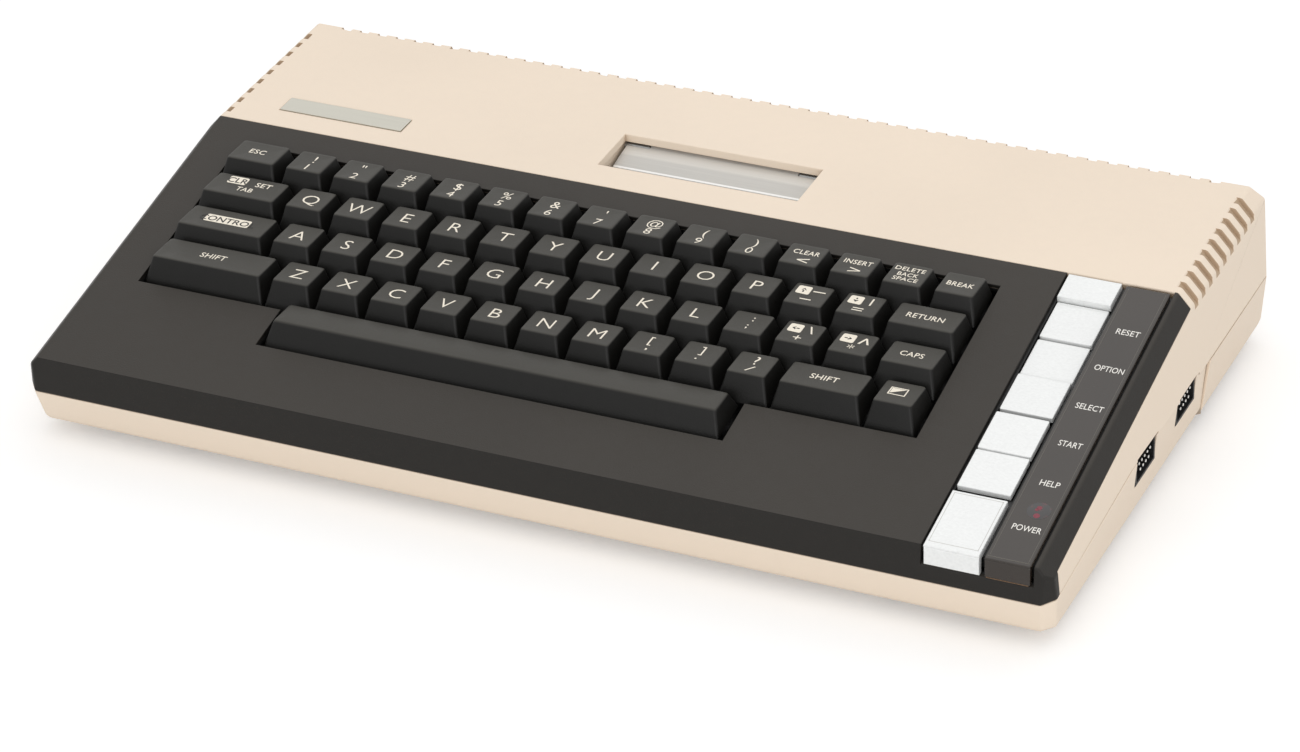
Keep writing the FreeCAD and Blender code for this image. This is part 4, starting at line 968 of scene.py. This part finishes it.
class TypingKeysOperator(bpy.types.Operator):
    """All typing keys and the space bar, with their legends, over short springs."""

    bl_idname = "computer.typing_keys"
    bl_label = "Typing keys"

    def execute(self, context):
        sizes = context.scene.computer_sizes
        row, start, stems = 0, 0.0, []
        for entry in ROWS:
            if entry is None:
                row, start = row + 1, 0.0
                continue
            name, units, marks = entry
            caps = []
            for mark in marks:
                caps.append((self.cap(sizes, row, start, units), mark))
                start += units
            stems += [self.stem(cap) for cap, _ in caps]
            surface = gathered([cap.surface([self.stem(cap)]) for cap, _ in caps])
            piece(name + "_caps", surface, "cap", name, (name,))
            self.print_on(name, caps)
        stems += self.space_bar(sizes)
        self.springs(stems)
        return {"FINISHED"}

    def cap(self, sizes, row, start, units):
        """The cap that starts so many pitches from the left of its row."""
        left = KEYS_LEFT + start * PITCH + KEY_GAP / 2
        right = left + units * PITCH - KEY_GAP
        front = KEYS_FRONT + row * PITCH + KEY_GAP / 2
        return self.tapered(sizes, left, right, front, set_back=5.3, run=13.4, side=2.2,
                            rear_side=2.2, height=6.2)

    def tapered(self, sizes, left, right, front, set_back, run, side, rear_side, height):
        """A cap whose top starts behind its foot's front and lies level with the desk.

        Its rear edge is lower on the panel than its front one by run tan(tilt)."""
        lead = front + set_back
        rear_height = height - run * math.tan(PANEL_TILT)
        foot = rectangle(left, right, front, front + CAP_DEPTH, CAP_FOOT)
        top = [(left + side, lead, height), (right - side, lead, height),
               (right - rear_side, lead + run, rear_height),
               (left + rear_side, lead + run, rear_height)]
        return Cap(foot, top, sizes.cap_dish, sizes.cap_corner, sizes.cap_rim, CAP_WALL)

    def stem(self, cap, across=0.0):
        """A rod under the middle of a cap: its place, foot, top and radius."""
        foot, into_cap, radius = -11.5, 1.0, 2.0
        x, v, n = cap.top.mean(0)
        return x + across, v, foot, n - into_cap, radius

    def print_on(self, name, caps):
        """The legends of one bank: cream marks, and dark ones on top of them."""
        step = 0.05
        layers = {0: [], 1: []}
        for cap, mark in caps:
            for (spots, sides), across, along, layer in legend(mark):
                lift = MARK_HALF_THICKNESS + MARK_LIFT + layer * step
                layers[layer].append((cap.on_top(spots, across, along, lift), sides))
        for layer, finish, tag in ((0, "legend", "_legends"), (1, "reversed", "_dark_legends")):
            if layers[layer]:
                piece(name + tag, gathered(layers[layer]), finish, name)

    def space_bar(self, sizes):
        """The long cap in front of the fourth to the twelfth pitch; returns its stems."""
        start, units, front = 3, 9, 29.675
        stem_spacing = 60.0
        left = KEYS_LEFT + start * PITCH + KEY_GAP / 2
        cap = self.tapered(sizes, left, left + units * PITCH - KEY_GAP, front, set_back=5.7,
                           run=11.5, side=2.4, rear_side=2.8, height=5.5)
        cap.dish = -0.35
        cap.rim = 0.9
        stems = [self.stem(cap, side * stem_spacing) for side in (-1, 0, 1)]
        piece("space_bar_cap", cap.surface(stems), "cap", "space_bar",
              ("space_bar",))
        return stems

    def springs(self, stems):
        """One spring round each guide tower, low enough to clear a pressed cap's ceiling."""
        low, high = -9.7, -1.9
        surface = gathered([coil(x, v, low, high) for x, v, _, _, _ in stems])
        piece("key_coils", surface, "steel", "case", ("key_springs",))


class ConsoleOperator(bpy.types.Operator):
    """Five silver keys, their trims, the smoked label panel, its labels and the lamp."""

    bl_idname = "computer.console"
    bl_label = "Console column"

    # Name, word, middle and height of the key, then the word's place and width
    KEYS = [("help", "HELP", 37.8, 0.45, 37.3, 6.7),
            ("start", "START", 56.8, 0.5, 56.8, 8.0),
            ("select", "SELECT", 77.4, -0.5, 75.5, 9.5),
            ("option", "OPTION", 96.4, -1.5, 95.0, 10.2),
            ("reset", "RESET", 115.7, -1.1, 114.0, 8.2)]
    KEY_LEFT, KEY_RIGHT = 145.1, 163.6
    KEY_HALF_DEPTH = 9.1
    PANEL_FACE = 0.8
    PANEL_END = 135.6
    TRIM_FACE = 1.0
    LABELS_X = 174.0

    def execute(self, context):
        sizes = context.scene.computer_sizes
        for name, _, middle, height, _, _ in self.KEYS:
            self.key(name + "_key", middle, height)
        softened("silver_trims", "silver", sizes.trim_edge, 0.6)
        softened("label_panel", "smoked", sizes.trim_edge, 0.6)
        dressed("console_key_tray", "black", 0.0)
        dressed("power_lamp", "lamp", 0.2)
        self.labels()
        self.edges()
        self.lamp()
        return {"FINISHED"}

    def key(self, node, middle, height):
        """One flat silver cap on one stem."""
        skirt, stem_foot, stem_radius = 2.0, -8.0, 2.5
        front, rear = middle - self.KEY_HALF_DEPTH, middle + self.KEY_HALF_DEPTH
        foot = rectangle(self.KEY_LEFT, self.KEY_RIGHT, front, rear, height - skirt)
        top = rectangle(self.KEY_LEFT, self.KEY_RIGHT, front, rear, height)
        cap = Cap(foot, top, dish=0.0, corner=0.5, rim=0.35, wall=0.9)
        stem = ((self.KEY_LEFT + self.KEY_RIGHT) / 2, middle, stem_foot, height - 0.5,
                stem_radius)
        piece(node + "_cap", cap.surface([stem]), "silver", node, (node,))

    def labels(self):
        """The words on the smoked panel."""
        shapes = [self.label(text, place, wide) for _, text, _, _, place, wide in self.KEYS]
        shapes.append(self.label("POWER", 15.5, 9.8))
        piece("panel_labels", gathered(shapes), "label", "case")

    def label(self, text, place, wide):
        """One word, just over the panel's face."""
        lift = self.PANEL_FACE + MARK_HALF_THICKNESS + MARK_LIFT
        return moved(words(text, 2.8, wide=wide), self.LABELS_X, place, lift)

    def edges(self):
        """Paler outlines of the panel and of the front trim, those of the panel being painted
        highlights on its bevels and front edge, and the panel's lower edge with painted light.
        """
        line = 0.25
        # Painted highlights along the panel's bevels and its front edge.
        self.lines("panel_lines", "edge", "smoked", self.PANEL_FACE, [
            (166.7, 166.7 + line, 0.9, self.PANEL_END),
            (180.0 - line, 180.0, 0.9, self.PANEL_END),
            (166.2, 180.4, 0.2, 0.6)])
        self.lines("trim_lines", "seam", "silver", self.TRIM_FACE, [
            (145.9, 145.9 + line, 1.2, 24.7), (162.85 - line, 162.85, 1.2, 24.7),
            (145.9, 162.85, 1.1, 1.1 + line), (145.9, 162.85, 24.75 - line, 24.75)])
        # A tan strip under the panel's lower lip: painted light.
        foot = slab([(166.1, 0.12), (180.5, 0.12), (180.5, 1.6), (166.1, 1.6)])
        foot = moved(foot, 0.0, 0.0, 20.5 - MARK_HALF_THICKNESS)
        piece("panel_foot", foot, "amber", "case", place=on_case)

    def lines(self, name, finish, slot, height, strokes):
        """Thin flat strokes from x0 to x1 and v0 to v1, lying on a face at a height."""
        shapes = [moved(slab([(x0, v0), (x1, v0), (x1, v1), (x0, v1)]), 0.0, 0.0, height)
                  for x0, x1, v0, v1 in strokes]
        piece(name, gathered(shapes), finish, "case")

    def lamp(self):
        """The lamp's round window, set into the panel's face, with three dull glints on it."""
        disc = turned([0.2, 4.0, 4.0, 3.8, 0.2], [-0.1, -0.1, 0.0, 0.03, 0.03], 40)
        piece("lamp_window", moved(disc, 174.9, 24.3, self.PANEL_FACE + 0.02), "lamp", "case")
        glints = []
        for across, along, radius in ((174.6, 25.6, 0.9), (174.0, 24.6, 0.6), (174.9, 21.9, 1.1)):
            glint = turned([0.1, radius, radius, 0.1], [0.0, 0.0, 0.02, 0.02], 20)
            glints.append(moved(glint, across, along, self.PANEL_FACE + 0.06))
        piece("lamp_glints", gathered(glints), "glint", "case")


class CartridgeBayOperator(bpy.types.Operator):
    """The two metal doors of the slot, their pins and springs and the chute under them."""

    bl_idname = "computer.cartridge_bay"
    bl_label = "Cartridge bay"

    def execute(self, context):
        dressed("cartridge_door_front", "door", 0.15)
        dressed("cartridge_door_rear", "door", 0.15)
        dressed("cartridge_chute", "beige", 0.0)
        dressed("door_hinge_pins", "steel", 0.0)
        dressed("door_springs", "steel", 0.0)
        dressed("cartridge_connector", "black", 0.2)
        return {"FINISHED"}


class SocketsOperator(bpy.types.Operator):
    """Joystick ports on the right and the sockets and switches of the rear wall."""

    bl_idname = "computer.sockets"
    bl_label = "Sockets"

    def execute(self, context):
        drawn_out("joystick_ports", "black", beyond=0.1869, by=0.0013)
        drawn_out("joystick_port_pins", "pin", beyond=0.184, by=0.0023)
        for node in ("peripheral_port", "bus_cover", "channel_switch_body",
                     "channel_switch_knob", "power_switch_body", "power_rocker"):
            dressed(node, "black", 0.2)
        for node in ("power_socket", "monitor_socket"):
            dressed(node, "black", 0.0)
        dressed("tv_jack", "plated", 0.15)
        dressed("modulator", "steel", 0.3)
        return {"FINISHED"}


class WorksOperator(bpy.types.Operator):
    """What the casing holds: boards, shield, key frame, membrane and ribbon."""

    bl_idname = "computer.works"
    bl_label = "Inner works"

    def execute(self, context):
        for node, finish, width in (
                ("main_board", "board", 0.0), ("board_chips", "chip", 0.2),
                ("board_shield", "steel", 0.2), ("keyboard_frame", "black", 0.0),
                ("keyboard_membrane", "film", 0.0), ("keyboard_backplate", "steel", 0.2),
                ("ribbon_cable", "film", 0.0)):
            dressed(node, finish, width)
        return {"FINISHED"}


class FittingsOperator(bpy.types.Operator):
    """Bare nameplate, rubber feet and case screws."""

    bl_idname = "computer.fittings"
    bl_label = "Fittings"

    def execute(self, context):
        dressed("nameplate", "plate", 0.12)
        dressed("rubber_feet", "rubber", 0.8)
        dressed("case_screws", "steel", 0.2)
        return {"FINISHED"}


class StageOperator(bpy.types.Operator):
    """Plain pale floor, soft light all round, two large lamps and the camera."""

    bl_idname = "computer.stage"
    bl_label = "Stage"

    def execute(self, context):
        scene = context.scene
        stage = scene.computer_stage
        self.floor(scene)
        self.sky(scene, stage.ambient)
        self.lamp(scene, "overhead", (0.1, 0.35, 1.5), (0.0, 0.0, 0.03), 1.6, stage.overhead)
        self.lamp(scene, "front", (0.7, -1.7, 0.55), (0.0, 0.0, 0.02), 1.3, stage.front)
        self.camera(scene, stage)
        scene.view_settings.view_transform = "Standard"
        return {"FINISHED"}

    def floor(self, scene):
        """A wide pale square that shows a little brighter to the camera, shadow included."""
        made = Finish("floor_white")
        cloudy = made.noise(3.0, detail=2.0)
        white = made.blend(cloudy, shaded(WHITE, 0.87), shaded(WHITE, 0.89))
        seen = made.node("ShaderNodeLightPath", output="Is Camera Ray")
        made.set(Base_Color=white)
        made.set(Roughness=0.9, Specular_IOR_Level=0.0)
        glow = made.node("ShaderNodeEmission", {}, {"Color": WHITE, "Strength": 0.24})
        both = made.node("ShaderNodeAddShader", {}, (made.shader, glow))
        mixed = made.node("ShaderNodeMixShader", {}, (seen, made.shader, both))
        made.feed(made.output.inputs[0], mixed)
        reach = 6.0
        mesh = bpy.data.meshes.new("floor")
        mesh.from_pydata(rectangle(-reach, reach, -reach, reach, 0.0), [], [(0, 1, 2, 3)])
        mesh.materials.append(made.material)
        floor = bpy.data.objects.new("floor", mesh)
        scene.collection.objects.link(floor)

    def sky(self, scene, ambient):
        """White where it is seen directly, in gloss or through clear pieces, else as dim as asked."""
        world = bpy.data.worlds.new("studio")
        scene.world = world
        nodes = Nodes(world)
        seen, shiny, clear = [nodes.node("ShaderNodeLightPath", output="Is %s Ray" % way)
                              for way in ("Camera", "Glossy", "Transmission")]
        shown = seen.or_more(shiny).or_more(clear)
        strength = nodes.node("ShaderNodeMapRange", {}, {0: shown, 3: ambient, 4: 1.0})
        glow = nodes.node("ShaderNodeBackground", {}, {"Color": WHITE, "Strength": strength})
        nodes.node("ShaderNodeOutputWorld", {}, (glow,))

    def lamp(self, scene, name, place, aim, side, power):
        """A square lamp at a place, facing its aim."""
        light = bpy.data.lights.new(name, "AREA")
        light.shape = "SQUARE"
        light.size = side
        light.energy = power
        made = bpy.data.objects.new(name, light)
        scene.collection.objects.link(made)
        back = np.array(place, float) - np.array(aim, float)
        back /= np.linalg.norm(back)
        right = np.cross((0.0, 1.0, 0.0), back)
        right /= np.linalg.norm(right)
        self.set_place(made, right, np.cross(back, right), back, np.array(place, float))

    def camera(self, scene, stage):
        """A camera whose view is turned about z, raised, then rolled, at a distance from its aim."""
        data = bpy.data.cameras.new("camera")
        data.lens = stage.lens
        data.sensor_width = 36.0
        data.clip_start = 0.05
        made = bpy.data.objects.new("camera", data)
        scene.collection.objects.link(made)
        turn, raised, roll = stage.turn, stage.raise_by, stage.roll
        level = np.array([math.cos(turn), math.sin(turn), 0.0])
        back = np.array([math.sin(turn) * math.cos(raised), -math.cos(turn) * math.cos(raised),
                         math.sin(raised)])
        over = np.cross(back, level)
        right = math.cos(roll) * level + math.sin(roll) * over
        up = -math.sin(roll) * level + math.cos(roll) * over
        aim = np.array([0.0, -0.001, 0.035])
        to_right, to_top, distance = 0.000024, -0.027167, 1.602095
        eye = aim + to_right * right + to_top * up + distance * back
        self.set_place(made, right, up, back, eye)
        scene.camera = made

    def set_place(self, made, right, up, back, spot):
        """Puts an object at a spot with its x, y and z axes along right, up and back."""
        columns = np.eye(4)
        columns[:3] = np.column_stack([right, up, back, spot])
        made.matrix_world = Matrix(columns.tolist())


STEPS = [FinishesOperator, CasingOperator, TypingKeysOperator, ConsoleOperator,
         CartridgeBayOperator, SocketsOperator, WorksOperator, FittingsOperator, StageOperator]


class ComputerPanel(bpy.types.Panel):
    """Lists the settings and the operators in the 3D view's sidebar."""

    bl_idname = "VIEW3D_PT_computer"
    bl_label = "Home computer"
    bl_space_type = "VIEW_3D"
    bl_region_type = "UI"
    bl_category = "Computer"

    def draw(self, context):
        scene = context.scene
        for group in (scene.computer_sizes, scene.computer_colours, scene.computer_stage):
            for key in group.bl_rna.properties.keys():
                if key not in ("rna_type", "name"):
                    self.layout.prop(group, key)
        for step in STEPS:
            self.layout.operator(step.bl_idname)


CLASSES = [ComputerSizes, ComputerColours, ComputerStage] + STEPS + [ComputerPanel]


def register():
    """Registers the classes and puts the settings on the scene."""
    for kind in CLASSES:
        bpy.utils.register_class(kind)
    bpy.types.Scene.computer_sizes = bpy.props.PointerProperty(type=ComputerSizes)
    bpy.types.Scene.computer_colours = bpy.props.PointerProperty(type=ComputerColours)
    bpy.types.Scene.computer_stage = bpy.props.PointerProperty(type=ComputerStage)


def unregister():
    """Takes the settings and the classes away again."""
    del bpy.types.Scene.computer_stage
    del bpy.types.Scene.computer_colours
    del bpy.types.Scene.computer_sizes
    for kind in reversed(CLASSES):
        bpy.utils.unregister_class(kind)


def main():
    """Registers everything and runs each step in order."""
    register()
    for step in STEPS:
        family, action = step.bl_idname.split(".")
        getattr(getattr(bpy.ops, family), action)()


if __name__ == "__main__":
    main()
